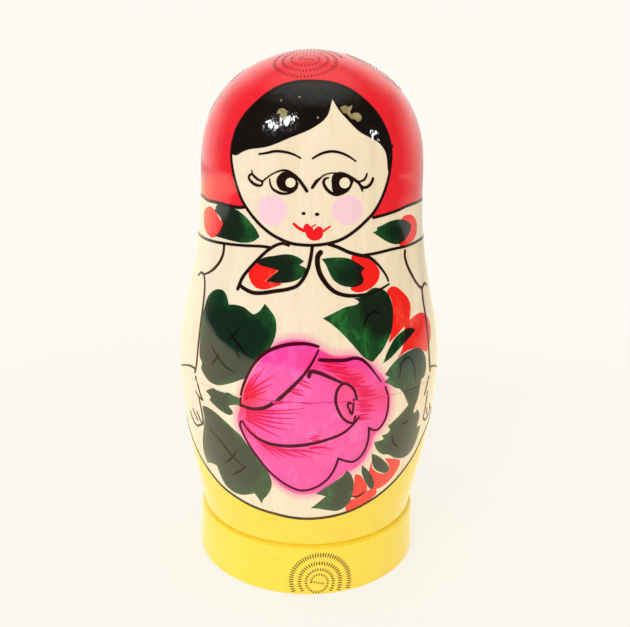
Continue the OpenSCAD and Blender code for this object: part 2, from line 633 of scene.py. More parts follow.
@dataclass(frozen=True)
class DyedWoodFinish:
    """The outside of a doll: bare lacquered limewood, with aniline dyes soaked into it and shade painted
    into the groove above the foot.
    """

    wood: Rgb = (252, 239, 217)
    fibre: Rgb = (226, 192, 142)
    red: Rgb = (248, 22, 46)
    red_deep: Rgb = (224, 10, 34)
    yellow: Rgb = (255, 229, 58)
    # Deeper yellow: where the dye pools, and also the painted shade in the groove above the foot.
    yellow_deep_and_shade: Rgb = (250, 194, 24)
    rose: Rgb = (251, 58, 172)
    rose_pale: Rgb = (254, 88, 190)
    blush: Rgb = (250, 26, 78)
    cheek: Rgb = (255, 212, 236)
    stain: Rgb = (26, 54, 34)
    cheek_span: Span = (-0.5, 0.6, 0.9)
    halo_span: Span = (-2.6, 0.2, 0.45)
    rose_span: Span = (-0.9, 0.9, 0.97)
    # The ramp of the painted shade in the groove above the foot.
    groove_span: Span = (0.0, 1.0, 0.3)
    skirt_span: Span = (-0.25, 0.25, 0.98)
    kerchief_span: Span = (-0.2, 0.2, 0.99)
    stain_span: Span = (-0.1, 0.1, 0.95)
    blush_span: Span = (0.0, 1.0, 0.9)
    soaked_span: Span = (0.0, 1.0, 0.7)
    grain: float = 0.34
    cover: float = 0.46
    yellow_pools: float = 0.22
    red_pools: float = 0.5
    roughness: float = 0.34
    lacquer: LacquerFinish = LacquerFinish()

    def material(self, effects: Effects) -> bpy.types.Material:
        """Builds the material, which reads the zones that the shells carry.

        Args:
            effects: the shared node groups.

        Returns:
            The material.
        """
        material, wire, shader = start_material("dyed limewood")
        grain = effects.place(wire, effects.grain, Strength=self.grain)
        pools = effects.place(wire, effects.brushing, Cover=self.cover).outputs["Thin"]
        zone = {z: wire.read(z) for z in Zones.NAMES}
        colour = wire.blend(grain.outputs["Fibre"], self.wood, self.fibre)
        colour = wire.blend(wire.ramp(zone["cheek"], *self.cheek_span), colour, self.cheek)
        halo = wire.ramp(zone["rose"], *self.halo_span)
        ground = wire.math("MAXIMUM", halo, wire.ramp(zone["rose"], *self.rose_span))
        colour = wire.blend(ground, colour, self.pink(wire, pools))
        share = wire.math("MULTIPLY", pools, self.yellow_pools)
        yellow = wire.blend(share, self.yellow, self.yellow_deep_and_shade)
        # Painted shade: the yellow darkens towards its deep tone along the groove above the foot.
        yellow = wire.blend(wire.ramp(zone["groove"], *self.groove_span), yellow, self.yellow_deep_and_shade)
        colour = wire.blend(wire.ramp(zone["skirt"], *self.skirt_span), colour, yellow)
        red = wire.blend(wire.math("MULTIPLY", pools, self.red_pools), self.red, self.red_deep)
        colour = wire.blend(wire.ramp(zone["kerchief"], *self.kerchief_span), colour, red)
        colour = wire.blend(wire.ramp(zone["stain"], *self.stain_span), colour, self.stain)
        wire.put(shader, "Base Color", colour)
        effects.gloss(wire, shader, self.roughness)
        self.lacquer.pour(shader)
        wet = wire.ramp(zone["blush"], *self.soaked_span)
        wire.put(shader, "Coat Weight", wire.math("SUBTRACT", self.lacquer.coat, wet))
        return material

    def pink(self, wire: Wiring, pools: Socket) -> Socket:
        """Builds the rose's pink.

        Args:
            wire: the material's wiring.
            pools: where the dye lies thin.

        Returns:
            The colour, redder towards the hearts of the petals.
        """
        rose = wire.blend(pools, self.rose, self.rose_pale)
        return wire.blend(wire.ramp(wire.read("blush"), *self.blush_span), rose, self.blush)


@dataclass(frozen=True)
class StreakFinish:
    """The red streaks on the rose, which fade into its pink at their sides."""

    red: Rgb = (230, 0, 46)
    coat: float = 0.3
    core_span: Span = (0.0, 0.7, 0.94)
    ground: DyedWoodFinish = DyedWoodFinish()
    lift: float = 0.06

    def material(self, name: str, effects: Effects) -> bpy.types.Material:
        """Builds the material, which reads how near the middle of its streak a point lies.

        Args:
            name: its name.
            effects: the shared node groups.

        Returns:
            The material.
        """
        material, wire, shader = start_material(name)
        pools = effects.place(wire, effects.brushing, Cover=self.ground.cover).outputs["Thin"]
        pink = self.ground.pink(wire, pools)
        colour = wire.blend(wire.ramp(wire.read("core"), *self.core_span), pink, self.red)
        wire.put(shader, "Base Color", colour)
        effects.gloss(wire, shader, self.ground.roughness)
        LacquerFinish(self.coat).pour(shader)
        return material


@dataclass(frozen=True)
class BareWoodFinish:
    """The inside of a doll and its foot: limewood as the chisel leaves it, with fine rings."""

    wood: Rgb = (238, 212, 170)
    fibre: Rgb = (205, 163, 112)
    grain: float = 0.9
    ring_pitch: float = 0.0011
    ring_depth: float = 0.00008
    ring_shade: float = 0.12
    rings_shown: float = 0.5
    ring_detail: float = 1.0
    ring_waver: float = 0.6
    rough_span: Span = (0.2, 0.8, 0.82)
    specular: float = 0.3
    bands_to_pitch: float = 0.314

    def material(self, effects: Effects) -> bpy.types.Material:
        """Builds the material.

        Args:
            effects: the shared node groups.

        Returns:
            The material.
        """
        material, wire, shader = start_material("bare limewood")
        grain = effects.place(wire, effects.grain, Strength=self.grain)
        place = wire.add("ShaderNodeTexCoord").outputs["Object"]
        setting = {"wave_type": "BANDS", "bands_direction": "Z", "wave_profile": "SIN"}
        bands = self.bands_to_pitch / self.ring_pitch
        given = {"Scale": bands, "Detail": self.ring_detail, "Distortion": self.ring_waver}
        rings = wire.add("ShaderNodeTexWave", setting, Vector=place, **given)
        colour = wire.blend(grain.outputs["Fibre"], self.wood, self.fibre)
        shade = wire.math("MULTIPLY", rings.outputs["Fac"], self.ring_shade)
        colour = wire.blend(shade, colour, self.fibre)
        wire.put(shader, "Base Color", colour)
        wire.put(shader, "Roughness", wire.ramp(grain.outputs["Height"], *self.rough_span))
        wire.put(shader, "Normal", bump(wire, rings.outputs["Fac"], self.ring_depth, self.rings_shown))
        shader.inputs["Specular IOR Level"].default_value = self.specular
        return material


PALETTE: dict[Paint, PaintFinish | LeafFinish | StreakFinish] = {
    Paint.PETAL: PaintFinish((254, 32, 26), (255, 82, 62), 0.52, 0.045),
    Paint.LEAF: LeafFinish(),
    Paint.VEIN: PaintFinish((8, 12, 10), (16, 26, 18), 0.6, 0.075, 0.5),
    Paint.HAIR: PaintFinish((20, 16, 15), (38, 30, 25), 0.58, 0.06, 0.0, 7.0, 0.05),
    # The pale patches and specks on the hair: partly worn paint, partly painted reflection.
    Paint.WORN: PaintFinish((150, 138, 92), (198, 176, 150), 0.45, 0.075),
    Paint.LIPS: PaintFinish((250, 26, 36), (253, 70, 66), 0.56, 0.06),
    Paint.CRIMSON: StreakFinish(),
    Paint.MAROON: PaintFinish((80, 0, 32), (116, 4, 48), 0.56, 0.08, 0.2),
    Paint.BROWN: PaintFinish((52, 32, 12), (98, 70, 24), 0.5, 0.08, 0.5),
    Paint.INK: PaintFinish((32, 16, 10), (64, 38, 24), 0.56, 0.09, 0.7),
    Paint.LIGHT: PaintFinish((252, 240, 214), (253, 245, 226), 0.5, 0.115),
    Paint.CROWN_STAMP: PaintFinish((122, 6, 26), (164, 12, 38), 0.5, 0.05, 0.7),
    Paint.FOOT_STAMP: PaintFinish((104, 56, 8), (146, 88, 18), 0.5, 0.05, 0.6),
}


@dataclass(frozen=True)
class FacePainting:
    """The face in its round window, with the black hair at the top."""

    edge: Points = (
        (0, 148.8), (10, 148.5), (20, 147), (28, 144), (34, 140.3), (38, 135.5), (39.5, 131), (38.3, 125),
        (35, 119.5), (30, 115), (26, 112.8), (20, 110), (14, 107.9), (8, 106.8), (2, 106.3), (-3, 106.3),
        (-8, 106.6), (-14, 107.8), (-18, 109), (-22, 110.6), (-26, 112.6), (-30, 115), (-34, 118.1),
        (-38, 123.5), (-40.2, 129), (-39, 135), (-35, 139.7), (-28, 144), (-20, 147), (-10, 148.5),
    )
    edge_width: float = 0.85
    hair: Area = Area((
        (-39.8, 129.5, SHARP), (-39, 135), (-35, 139.7), (-28, 144), (-20, 147), (-10, 148.5), (0, 148.8),
        (10, 148.5), (20, 147), (28, 144), (34, 140.3), (38, 135.5), (39.3, 133.4), (41.2, 132.4, SHARP),
        (39.4, 131.2, SHARP), (39.2, 128), (38.4, 124.5, SHARP), (37.4, 126), (37, 128.2), (36, 130.6),
        (33, 132.8), (28, 134.3), (22, 136), (17, 138.7), (13, 141.2), (10, 144, SHARP), (9, 142.5),
        (8, 140.8), (6, 139), (0, 136.5), (-10, 134), (-20, 131.7), (-30, 130.8), (-34, 130), (-37, 129.2),
    ), Paint.HAIR)
    # Pale patches where the hair's highlights fall: partly worn paint, partly painted reflection.
    worn: tuple[Area, ...] = (
        Area((
            (13.5, 142, SHARP), (16.4, 142.5), (17.8, 142.1, SHARP), (20.1, 142.7, SHARP), (19.5, 141.8),
            (18.4, 140.9), (18.8, 140.3, SHARP), (20.9, 140.7), (23, 140.6), (24.2, 139.7),
            (23.3, 138.7, SHARP), (21.8, 138.4, SHARP), (20.2, 139), (18.5, 139.1, SHARP), (17.3, 139.9),
            (16.3, 140.5, SHARP), (14.9, 140.6), (14, 141.4),
        ), Paint.WORN, True),
        Area((
            (-17.5, 139.8, SHARP), (-16.4, 141.2), (-13.9, 141.4), (-12, 140.5, SHARP), (-12.4, 139.4),
            (-14.3, 138.9), (-15.2, 139.2, SHARP), (-15.4, 140, SHARP), (-16.8, 140.1),
        ), Paint.WORN, True),
    )
    # Small pale specks beside the left highlight on the hair: partly worn paint, partly painted highlight.
    specks: Spots = (
        (-16, 143.5, 0.5, 0.3), (-6.8, 144.4, 0.7, 0.25), (-6.7, 139, 0.4, 0.25), (2.6, 139.2, 0.5, 0.3),
    )
    brows: tuple[Stroke, ...] = (
        Stroke((
            (-24.3, 129.7), (-20, 130.1), (-17, 130.5), (-12, 130.4), (-8, 129.8), (-4.8, 128.9),
        ), (0.5, 0.68, 0.7, 0.62, 0.42), Paint.INK),
        Stroke((
            (0.5, 128.9), (3, 129.8), (6, 130.5), (9.5, 130.75), (13, 130.4), (16.5, 129.6), (20.1, 128.3),
        ), (0.5, 0.68, 0.7, 0.62, 0.42), Paint.INK),
    )
    lids: tuple[Stroke, ...] = (
        Stroke((
            (-22.4, 122.6), (-19.6, 123.9), (-16.5, 125), (-14.2, 125.5), (-12.2, 125.7), (-10.3, 125.5),
            (-8, 124.7), (-5.8, 123.6), (-3.8, 122.1), (-1.9, 120.5),
        ), (0.5, 0.4, 0.4, 0.5, 0.7, 0.8, 0.85, 0.9), Paint.INK),
        Stroke((
            (-18.8, 123.4), (-18.7, 122.3), (-17.7, 121), (-15.8, 120.2), (-13.4, 119.7), (-10.8, 119.7),
            (-8.2, 120.3), (-6.5, 121.3), (-6.1, 122.5),
        ), (0.35, 0.65, 0.75, 0.65, 0.65, 0.6), Paint.INK),
        Stroke((
            (0.5, 121.4), (2.3, 123), (3.6, 123.7), (5.8, 124.7), (8.6, 125.2), (11.2, 125.2),
            (13.1, 125.3), (15.8, 124.8), (18.5, 123.9), (21.2, 122.9),
        ), (0.8, 0.9, 0.4, 0.36, 0.36, 0.45, 0.6, 0.7, 0.85, 0.8), Paint.INK),
        Stroke((
            (7.6, 124), (6, 123.7), (5.4, 122.8), (6.2, 121.6), (7.8, 120.5), (9.8, 119.8), (11.7, 119.6),
            (14, 120), (16.3, 120.8), (17.9, 122.2), (18.6, 123.4),
        ), (0.4, 0.75, 0.85, 0.85, 0.8, 0.7, 0.75, 0.75, 0.7), Paint.INK),
    )
    irises: tuple[Area, ...] = (
        Area((
            (-12.9, 125.2), (-14.5, 124.4), (-15.4, 123.6), (-15.7, 122.6), (-15.1, 121.5), (-13.8, 120.6),
            (-11.8, 120.2), (-9.5, 120.2), (-7.6, 120.9), (-6.2, 122.1), (-6.4, 123.5), (-8, 124.6),
            (-10.3, 125.3),
        ), Paint.INK),
        Area((
            (9.6, 124.8), (9, 123.8), (9, 122.7), (9.3, 121.2), (10.1, 119.9), (11.7, 119.6), (14, 120),
            (16.3, 120.8), (17.9, 122.2), (18.3, 123.4), (16.5, 124.4), (13.5, 125.1),
        ), Paint.INK),
    )
    glints: Spots = ((-9.2, 122.55, 2.25, 1.25), (14.95, 122.7, 2.45, 1.4))
    lashes: tuple[Stroke, ...] = (
        Stroke((
            (-22.3, 122.6), (-24.6, 123.1), (-26.6, 123.9), (-27.7, 124.6), (-27.9, 125.4),
        ), (0.55, 0.6, 0.75, 0.75, 0.35), Paint.INK),
        Stroke((
            (-22.3, 122.6), (-22.7, 121.7), (-25.3, 121.6), (-27.8, 122.3), (-29.5, 123.4), (-29.4, 123.9),
            (-28.3, 124.4),
        ), (0.5, 0.7, 0.85, 0.85, 0.75, 0.6), Paint.INK),
        Stroke(((21, 123), (23.1, 123.2), (24.9, 123.9), (25.7, 125.1)), (0.6, 0.5, 0.65, 0.5), Paint.INK),
        Stroke((
            (21.4, 122.8), (23.7, 121.5), (26.8, 121.9), (28.5, 123.1), (28.9, 123.8),
        ), (0.7, 0.85, 0.8, 0.85, 0.8), Paint.INK),
        Stroke(((22.6, 122), (23.6, 120.6)), (0.7, 0.5), Paint.INK, True),
    )
    cheeks: Spots = ((-17.5, 115.2, 7.3, 4.1), (16.7, 115.5, 7.5, 4.0))
    nostrils: Spots = ((-3.2, 114.6, 0.9, 0.42), (2.8, 114.45, 1.0, 0.45))
    lips: Area = Area((
        (-3.2, 110.5), (-3, 111.2), (-1.8, 112), (-0.4, 111.5), (0.9, 110.9), (1.4, 110.2, SHARP),
        (2.2, 110.8), (3.7, 111.3), (5, 110.9), (5.5, 110.2), (5.4, 108.9), (4.2, 107.9), (2, 107.5),
        (0.1, 107.7), (-1.5, 108.5), (-2.3, 109.6),
    ), Paint.LIPS)
    smile: tuple[Stroke, ...] = (
        Stroke(((-7.4, 111.8), (-5.6, 110.9), (-3, 110)), (0.75, 0.9, 0.8), Paint.LIPS),
        Stroke(((5.4, 109.9), (7.2, 110.7), (8.7, 111.3)), (0.55, 0.6, 0.45), Paint.LIPS),
        Stroke(((0.6, 111.1), (2.2, 111.7)), (0.35,), Paint.LIPS, True),
    )

    def paint(self, sheet: Sheet) -> None:
        """Draws the face on a flat sheet."""
        sheet.areas((self.hair, *self.irises, self.lips, *self.worn))
        sheet.strokes((*self.brows, *self.lids, *self.lashes, *self.smile))
        sheet.strokes([Stroke(self.edge + self.edge[:1], (self.edge_width,), Paint.INK)])
        for spot in self.glints:
            sheet.oval(spot, Paint.LIGHT)
        for spot in self.nostrils:
            sheet.oval(spot, Paint.INK)
        # The specks, in the same pale colour: partly worn paint, partly painted highlight.
        for spot in self.specks:
            sheet.oval(spot, Paint.WORN)


@dataclass(frozen=True)
class KerchiefPainting:
    """The kerchief's hem with its buds, and the two tails knotted under the chin."""

    hem: Points = (
        (29.5, 113.4), (34, 113.8), (44, 114.9), (52, 115.9), (62, 116.5), (72, 116.9), (100, 117),
        (140, 117), (180, 117), (220, 117), (260, 117), (290, 117), (300, 116.2), (310, 116), (318, 115.6),
        (325, 115.3), (328.5, 115.6),
    )
    band: Points = (
        (24, 103.4), (30, 103.7), (40, 104.4), (50, 104.7), (60, 105.2), (70, 105.6), (100, 105.5),
        (140, 105.3), (180, 105.3), (220, 105.3), (260, 105.4), (290, 105.4), (300, 105.1), (315, 105),
        (330, 105.2), (338, 105.4), (343, 105.2),
    )
    left_bud: tuple[Area, ...] = (
        Area((
            (-66, 112), (-64, 113.3), (-60, 114.4), (-56, 114.5), (-52, 113.5), (-48, 111.6),
            (-44.5, 110.3), (-47, 108), (-50, 106.5), (-54, 106), (-60, 107), (-64, 108.8),
        ), Paint.PETAL),
        Area((
            (-52.5, 113.7, SHARP), (-51, 115.2), (-48, 115.8), (-42, 115.4), (-36, 114.6), (-31, 113),
            (-27, 111), (-24.5, 109.3), (-23.2, 107.9, SHARP), (-26, 106.6), (-31, 105.9), (-37, 106),
            (-44, 106.3), (-51, 106.6, SHARP), (-47.5, 108), (-45, 110.3, SHARP), (-47.5, 112),
        ), Paint.LEAF),
    )
    right_bud: tuple[Area, ...] = (
        Area((
            (48, 112.6), (52, 113.4), (57, 113.2), (61, 112), (63.3, 110), (62, 107.8), (58, 106),
            (52, 105.3), (45, 105.5),
        ), Paint.PETAL),
        Area((
            (29.2, 109.4, SHARP), (31.5, 110), (31.5, 110.7, SHARP), (35, 111.3), (40, 112.2), (47, 112.4),
            (53, 111.5), (56.5, 110.2, SHARP), (53.5, 108), (49, 106.3), (44, 105.6), (38, 106.4),
            (33, 108),
        ), Paint.LEAF),
    )
    hem_widths: tuple[float, ...] = (0.8, 0.75, 0.7, 0.75, 0.9)
    band_widths: tuple[float, ...] = (0.8,)
    back_turn: float = 76.0
    tail_lines: tuple[Stroke, ...] = (
        Stroke((
            (-9.5, 106.1), (-12, 106.5), (-15, 106), (-19, 104.4), (-23, 102), (-27, 99.3), (-30.5, 96.3),
            (-32.2, 93.3),
        ), (0.8, 0.9, 0.95, 1.1), Paint.INK),
        Stroke((
            (-31, 94.2), (-28, 93.4), (-24, 92.8), (-20, 93), (-15, 93.7), (-9, 94.5), (-5, 95.6),
            (-2.5, 97.6), (-0.8, 100), (0.3, 103), (0.9, 106),
        ), (1.1, 1.1, 1.0, 0.9), Paint.INK),
        Stroke((
            (4.5, 104.4), (3.4, 103.5), (3.2, 101.5), (4.2, 99), (6.5, 96.5), (10, 94.2), (14, 93.1),
            (19, 92.7), (25, 92.9), (31, 93.7), (36.7, 95),
        ), (1.4, 1.3, 1.1, 1.0, 0.8, 0.5), Paint.INK),
        Stroke((
            (8, 106.6), (12, 105.8), (17, 104.4), (22, 103.5), (27, 102.7), (31, 100.8), (34, 98.7),
            (35.8, 97), (36.4, 95.9),
        ), (0.9, 1.0, 0.9, 0.6), Paint.INK),
    )
    tail_fills: tuple[Area, ...] = (
        Area((
            (-27.5, 98), (-26, 100.3), (-23.5, 101.2), (-20, 100.3), (-13.8, 99.4, SHARP), (-16.5, 97.5),
            (-19.5, 96.2, SHARP), (-13, 96), (-11.5, 95.7, SHARP), (-15, 94.8), (-20, 93.9), (-24, 94.5),
            (-26.5, 96.2),
        ), Paint.PETAL),
        Area((
            (-24, 101, SHARP), (-21, 102.3), (-16, 103.1), (-9, 103.7), (-5, 103), (-2.5, 102, SHARP),
            (-4.5, 101, SHARP), (-2, 100.3), (-1, 99.7), (-3, 98), (-6, 96.8), (-12, 96),
            (-19, 96.2, SHARP), (-16, 97.8), (-13.5, 99.3, SHARP), (-18, 99.9), (-22, 100.3),
        ), Paint.LEAF),
        Area((
            (18.3, 103.2), (22, 103.3), (27, 102.2), (30.5, 100.4), (32, 98.5), (31, 96.5), (28, 94.8),
            (24, 93.8), (20, 93.6), (17.5, 94.6), (20, 97),
        ), Paint.PETAL),
        Area((
            (5, 102.7, SHARP), (9, 103), (14, 103), (17.5, 102.6), (20.5, 101.6), (24.5, 100, SHARP),
            (22.8, 98.8), (23.7, 97), (23, 95.9), (20, 95.1), (16, 95.2), (13, 95.8), (10, 97.2), (8, 99.5),
            (6.8, 101.2),
        ), Paint.LEAF),
    )

    def paint(self, sheet: Sheet) -> None:
        """Draws the kerchief on a flat sheet."""
        sheet.strokes([Stroke(self.hem, self.hem_widths, Paint.INK)])
        sheet.strokes([Stroke(self.band, self.band_widths, Paint.INK)])
        sheet.areas((*self.left_bud, *self.right_bud, *self.tail_fills))
        sheet.areas([turned(a, -self.back_turn) for a in self.left_bud])
        sheet.areas([turned(a, self.back_turn) for a in self.right_bud])
        sheet.strokes(self.tail_lines)


def turned(area: Area, degrees: float) -> Area:
    """Turns a painted area round the doll.

    Args:
        area: the area.
        degrees: how far it turns, to the right as the front shows it.

    Returns:
        The same area in its new place.
    """
    return replace(area, points=tuple((p[0] + degrees, *p[1:]) for p in area.points))


@dataclass(frozen=True)
class SleevePainting:
    """The sleeves, the cuffs and the hands at the doll's sides."""

    lines: tuple[Stroke, ...] = (
        Stroke((
            (-43.2, 104.6), (-43.2, 102.5), (-44.8, 100), (-48.5, 97.6), (-53, 95.9), (-57.5, 95),
        ), (1.0, 0.9, 0.5), Paint.BROWN),
        Stroke((
            (-63.5, 94.1), (-61, 95.1), (-58.5, 95.2), (-56, 94.2), (-54.2, 91.5), (-53.2, 88), (-52.7, 85),
            (-52.4, 82), (-52, 77), (-51.9, 72), (-52.4, 68.5), (-53.5, 66.5),
        ), (0.7, 0.9, 0.9, 0.8), Paint.BROWN),
        Stroke((
            (-52.6, 67.6), (-56, 67.7), (-60, 67.3), (-66, 66.1), (-70, 65.2), (-78, 63.6),
        ), (0.7, 0.6, 0.5), Paint.BROWN),
        Stroke(((-52.8, 65.2), (-51.2, 62.5), (-49.8, 60.5), (-48.2, 59)), (0.8, 0.7, 0.6), Paint.BROWN),
        Stroke(((-53.5, 60.5), (-51.5, 59.5), (-48.5, 58.8)), (0.4, 0.55, 0.5), Paint.BROWN, True),
        Stroke(((-51, 59), (-50, 56), (-49.3, 53), (-49.6, 51)), (0.6, 0.7, 0.7), Paint.BROWN),
        Stroke((
            (-54, 53.8), (-52.8, 52.8), (-51.5, 51.4), (-50, 50.8),
        ), (0.5, 0.6, 0.6), Paint.BROWN, True),
        Stroke(((-58, 53.8), (-56, 52.2), (-54, 51)), (0.5, 0.6, 0.5), Paint.BROWN, True),
        Stroke((
            (-62, 52), (-60, 49.9), (-56, 48.8), (-52.5, 49.8), (-50, 50.8),
        ), (0.6, 0.7, 0.6), Paint.BROWN),
        Stroke((
            (49.3, 103.4), (48.8, 102), (50, 99.5), (53, 96.5), (56.5, 93.8), (59.5, 92.3), (62, 91.6),
            (65, 92.3), (67.5, 92.4), (70, 91.6),
        ), (1.0, 1.0, 0.7), Paint.BROWN),
        Stroke((
            (61.8, 91), (61.2, 88), (61.3, 84), (61, 80), (60.8, 75), (60.8, 70), (61.8, 66.5),
        ), (1.1, 1.0, 1.0), Paint.BROWN),
        Stroke(((62.4, 67.7), (68, 66.8), (74, 65.3), (82, 63.6)), (0.7, 0.6, 0.5), Paint.BROWN),
        Stroke(((60.5, 65), (59.5, 62.5), (57.5, 59.8)), (0.8, 0.7, 0.6), Paint.BROWN),
        Stroke(((60.5, 60), (60.3, 55), (59.5, 51.5)), (0.6, 0.7, 0.6), Paint.BROWN),
        Stroke(((59.5, 51.5), (62, 50.3), (66, 50.4), (70, 52.4)), (0.6, 0.7, 0.6), Paint.BROWN),
        Stroke(((62.5, 54.2), (63.5, 52.6), (65, 51.4)), (0.5, 0.6, 0.5), Paint.BROWN, True),
        Stroke(((66.5, 54.8), (67.6, 53.2), (69, 52.2)), (0.5, 0.6, 0.5), Paint.BROWN, True),
    )

    def paint(self, sheet: Sheet) -> None:
        """Draws the sleeves on a flat sheet."""
        sheet.strokes(self.lines)


@dataclass(frozen=True)
class FoliagePainting:
    """The dark green leaves round the rose."""

    leaves: tuple[Points, ...] = (
        (
            (-51.5, 86), (-50, 89.5), (-46.5, 91.5), (-43, 92.2), (-40, 92), (-37.8, 90.8),
            (-36, 88.6, SHARP), (-33, 88.9), (-28, 88.6), (-25, 87.6), (-23.2, 87.1), (-20.5, 88.2),
            (-18.6, 90.2, SHARP), (-16, 88.6), (-13.6, 86.5), (-12.9, 83.5), (-13.8, 80.5), (-15.8, 77.8),
            (-19, 75.5), (-22, 72.5), (-24, 69.8), (-27, 68.6), (-32, 66.9), (-38, 65.5), (-43, 65.8),
            (-47, 67.6), (-48.5, 68.8), (-48, 70.3), (-50, 72), (-51.2, 78), (-52, 83),
        ),
        (
            (-45.5, 62.3, SHARP), (-42, 63.7), (-36, 64), (-30, 63.6), (-27.2, 63), (-26.8, 61.3),
            (-29.5, 60.9), (-32.5, 60), (-31, 59), (-30.6, 58.2), (-32, 57.4), (-36, 57.7), (-40, 58.8),
            (-43.5, 60, SHARP), (-42.5, 60.9),
        ),
        (
            (-48.5, 56.8), (-45, 57.3), (-40, 56.6), (-34, 54.6), (-30, 52.8), (-27.5, 51.7), (-25, 49.5),
            (-22, 47), (-18, 43.4), (-16, 41.2), (-14.8, 38), (-15.5, 35.5), (-17.5, 33), (-19.5, 31.3),
            (-20.3, 29.8, SHARP), (-21.5, 31.3), (-23.3, 33, SHARP), (-26, 32.2), (-30, 31.2), (-34, 31),
            (-38, 31.8), (-40.5, 33.2), (-42.5, 36), (-43.5, 38.3, SHARP), (-47, 38.2),
            (-51.5, 37.2, SHARP), (-53, 40), (-52.8, 43), (-51, 47), (-49, 50.5), (-48, 53.5),
        ),
        (
            (5.5, 87, SHARP), (10, 88.4), (15, 89.8), (20, 90.4), (21, 91), (18.8, 92, SHARP), (22, 92.3),
            (25, 93.5), (28, 94.4), (32, 94), (35.5, 92.5), (37.3, 89.5), (37.3, 86.5), (36, 83),
            (34, 80.5), (32.5, 79.3), (30.5, 77.5), (28, 76), (25.5, 74.5, SHARP), (24, 75), (22, 76),
            (20, 77.5), (17, 80), (13, 83), (9, 85.5),
        ),
        (
            (30.3, 73.7, SHARP), (33, 77), (37, 80), (42, 81.5), (46, 82), (50.5, 80.9, SHARP), (46, 79.3),
            (42, 78), (38, 76.5), (34, 74.8),
        ),
        (
            (31, 70.4, SHARP), (35, 73), (40, 74.8), (46, 75.6), (51, 75.5), (55, 73.8), (56.8, 71.3),
            (57, 68), (55.5, 66), (53, 65.6, SHARP), (52.6, 63), (51.5, 60), (49.5, 57.5), (48.5, 56),
            (46, 57.5), (44.7, 59.3, SHARP), (42.5, 62), (39, 65), (36, 66), (33.5, 67.2),
            (30.8, 68.3, SHARP), (33.3, 69.4, SHARP),
        ),
        (
            (34, 54.4, SHARP), (38, 56), (42, 57.7), (45, 59), (47.5, 58), (48.8, 56.3), (50, 55.5),
            (52, 56.2, SHARP), (54, 54.8), (55, 53), (54.2, 51.5), (53.8, 50, SHARP), (57.5, 49.6, SHARP),
            (56.5, 46), (54.5, 43.3), (52, 41.8), (48, 41.3), (44, 41.8), (40, 43), (36, 44.8), (33, 45.5),
            (30.5, 46.8), (28.8, 48.5), (28, 50.2, SHARP), (32.5, 50.6), (31.2, 51.8, SHARP), (34.5, 52.2),
            (35.3, 53),
        ),
        (
            (27.4, 46.5, SHARP), (30, 45.6), (34, 43.3), (37.5, 40.5), (38.3, 38.9), (36, 38.5), (33, 39.5),
            (30, 41), (28.2, 43.3),
        ),
        (
            (23.4, 43.3, SHARP), (26, 41.5), (29, 38.8), (30.8, 36), (30.8, 34.3), (29.3, 34.2), (27, 36.2),
            (24.7, 39), (23.5, 41),
        ),
        (
            (4, 35, SHARP), (8, 37), (12, 39), (15, 40.5), (16.8, 42.3, SHARP), (18.5, 41), (20, 38.8),
            (20.6, 36), (20.3, 33), (19.5, 31), (17.5, 29.3), (14, 28.4), (10, 28.9), (6, 29.6),
            (2, 30, SHARP), (4, 31), (7, 33), (8.5, 34, SHARP), (6, 34.6),
        ),
    )
    veins: tuple[Points, ...] = (
        ((-35.5, 82.2), (-31.5, 80), (-25, 76.5), (-22, 75.5)),
        ((-34, 78.5), (-32, 80.3), (-28.5, 83)),
        ((-30, 77), (-27.5, 74.5)),
        ((-43, 76.5), (-39, 74), (-34, 71.5), (-29, 70.5)),
        ((-41.5, 71), (-38, 74.5)),
        ((-45, 50.5), (-38, 47.5), (-33, 44.2), (-27, 41.5)),
        ((-37.5, 40.8), (-33, 43.5), (-30, 46.5)),
        ((-34, 37.5), (-29, 40), (-26, 42)),
        ((22.5, 84.5), (24.5, 87), (28, 88), (31, 87.2)),
        ((37, 50.5), (38.5, 48), (42, 46.3)),
        ((42, 53.5), (46, 54)),
        ((38.5, 68.3), (39, 71), (40, 72.8), (43.4, 73.8), (46.5, 72), (47.9, 69.3), (48.6, 66.2)),
    )
    vein_widths: tuple[float, ...] = (0.29, 0.72, 0.65, 0.29)
    lit: Spots = (
        (-15.5, 87.5, 5, 0.6), (-46, 90, 4, 0.35), (-37, 90, 3, 0.4), (10, 86.5, 7, 0.8), (17, 84, 7, 0.7),
        (24, 79, 6, 0.7), (21, 88.5, 4, 0.4), (31, 74.5, 4, 0.5), (-29, 63, 4, 0.3), (-21, 33.5, 5, 0.7),
        (-17, 38, 4, 0.6), (-33, 32.5, 4, 0.5), (-49, 39, 3, 0.3), (33, 70, 4, 0.5), (30.5, 49.5, 5, 0.6),
        (36, 54, 3, 0.4), (6, 31, 6, 0.8), (8, 36, 4, 0.7), (-26, 108.5, 6, 0.7), (-31, 112, 4, 0.4),
        (31.5, 109.5, 5, 0.7), (-6, 101.5, 6, 0.6), (-18, 102.5, 4, 0.4), (7, 101.5, 5, 0.7),
        (13, 102.8, 4, 0.4), (36, 70.5, 5, 0.45), (44, 68, 6, 0.4), (29.3, 92.5, 2.5, 0.6),
        (24.6, 77.5, 4, 0.35), (31.9, 80.3, 3, 0.5),
    )
    dark: Spots = (
        (-16, 99.3, 8, 1.0), (-43, 110, 8, 0.9), (33.6, 87, 6.5, 0.9), (30.5, 83, 4, 0.5), (31, 93, 4, 0.3),
        (26, 88, 4.5, 0.7), (24.5, 91.5, 3, 0.6),
    )
    across_seam: int = 5
    edge_light: float = 0.55
    edge_reach: float = 1.8
    over_edge: Pair = (-0.2, 0.6)
    spot_slope: float = 1.6
    dark_over: float = 0.4

    def paint(self, sheet: Sheet) -> None:
        """Draws the leaves and their veins on a flat sheet."""
        sheet.areas([Area(points, Paint.LEAF) for points in self.leaves])
        sheet.strokes([Stroke(points, self.vein_widths, Paint.VEIN, True) for points in self.veins])

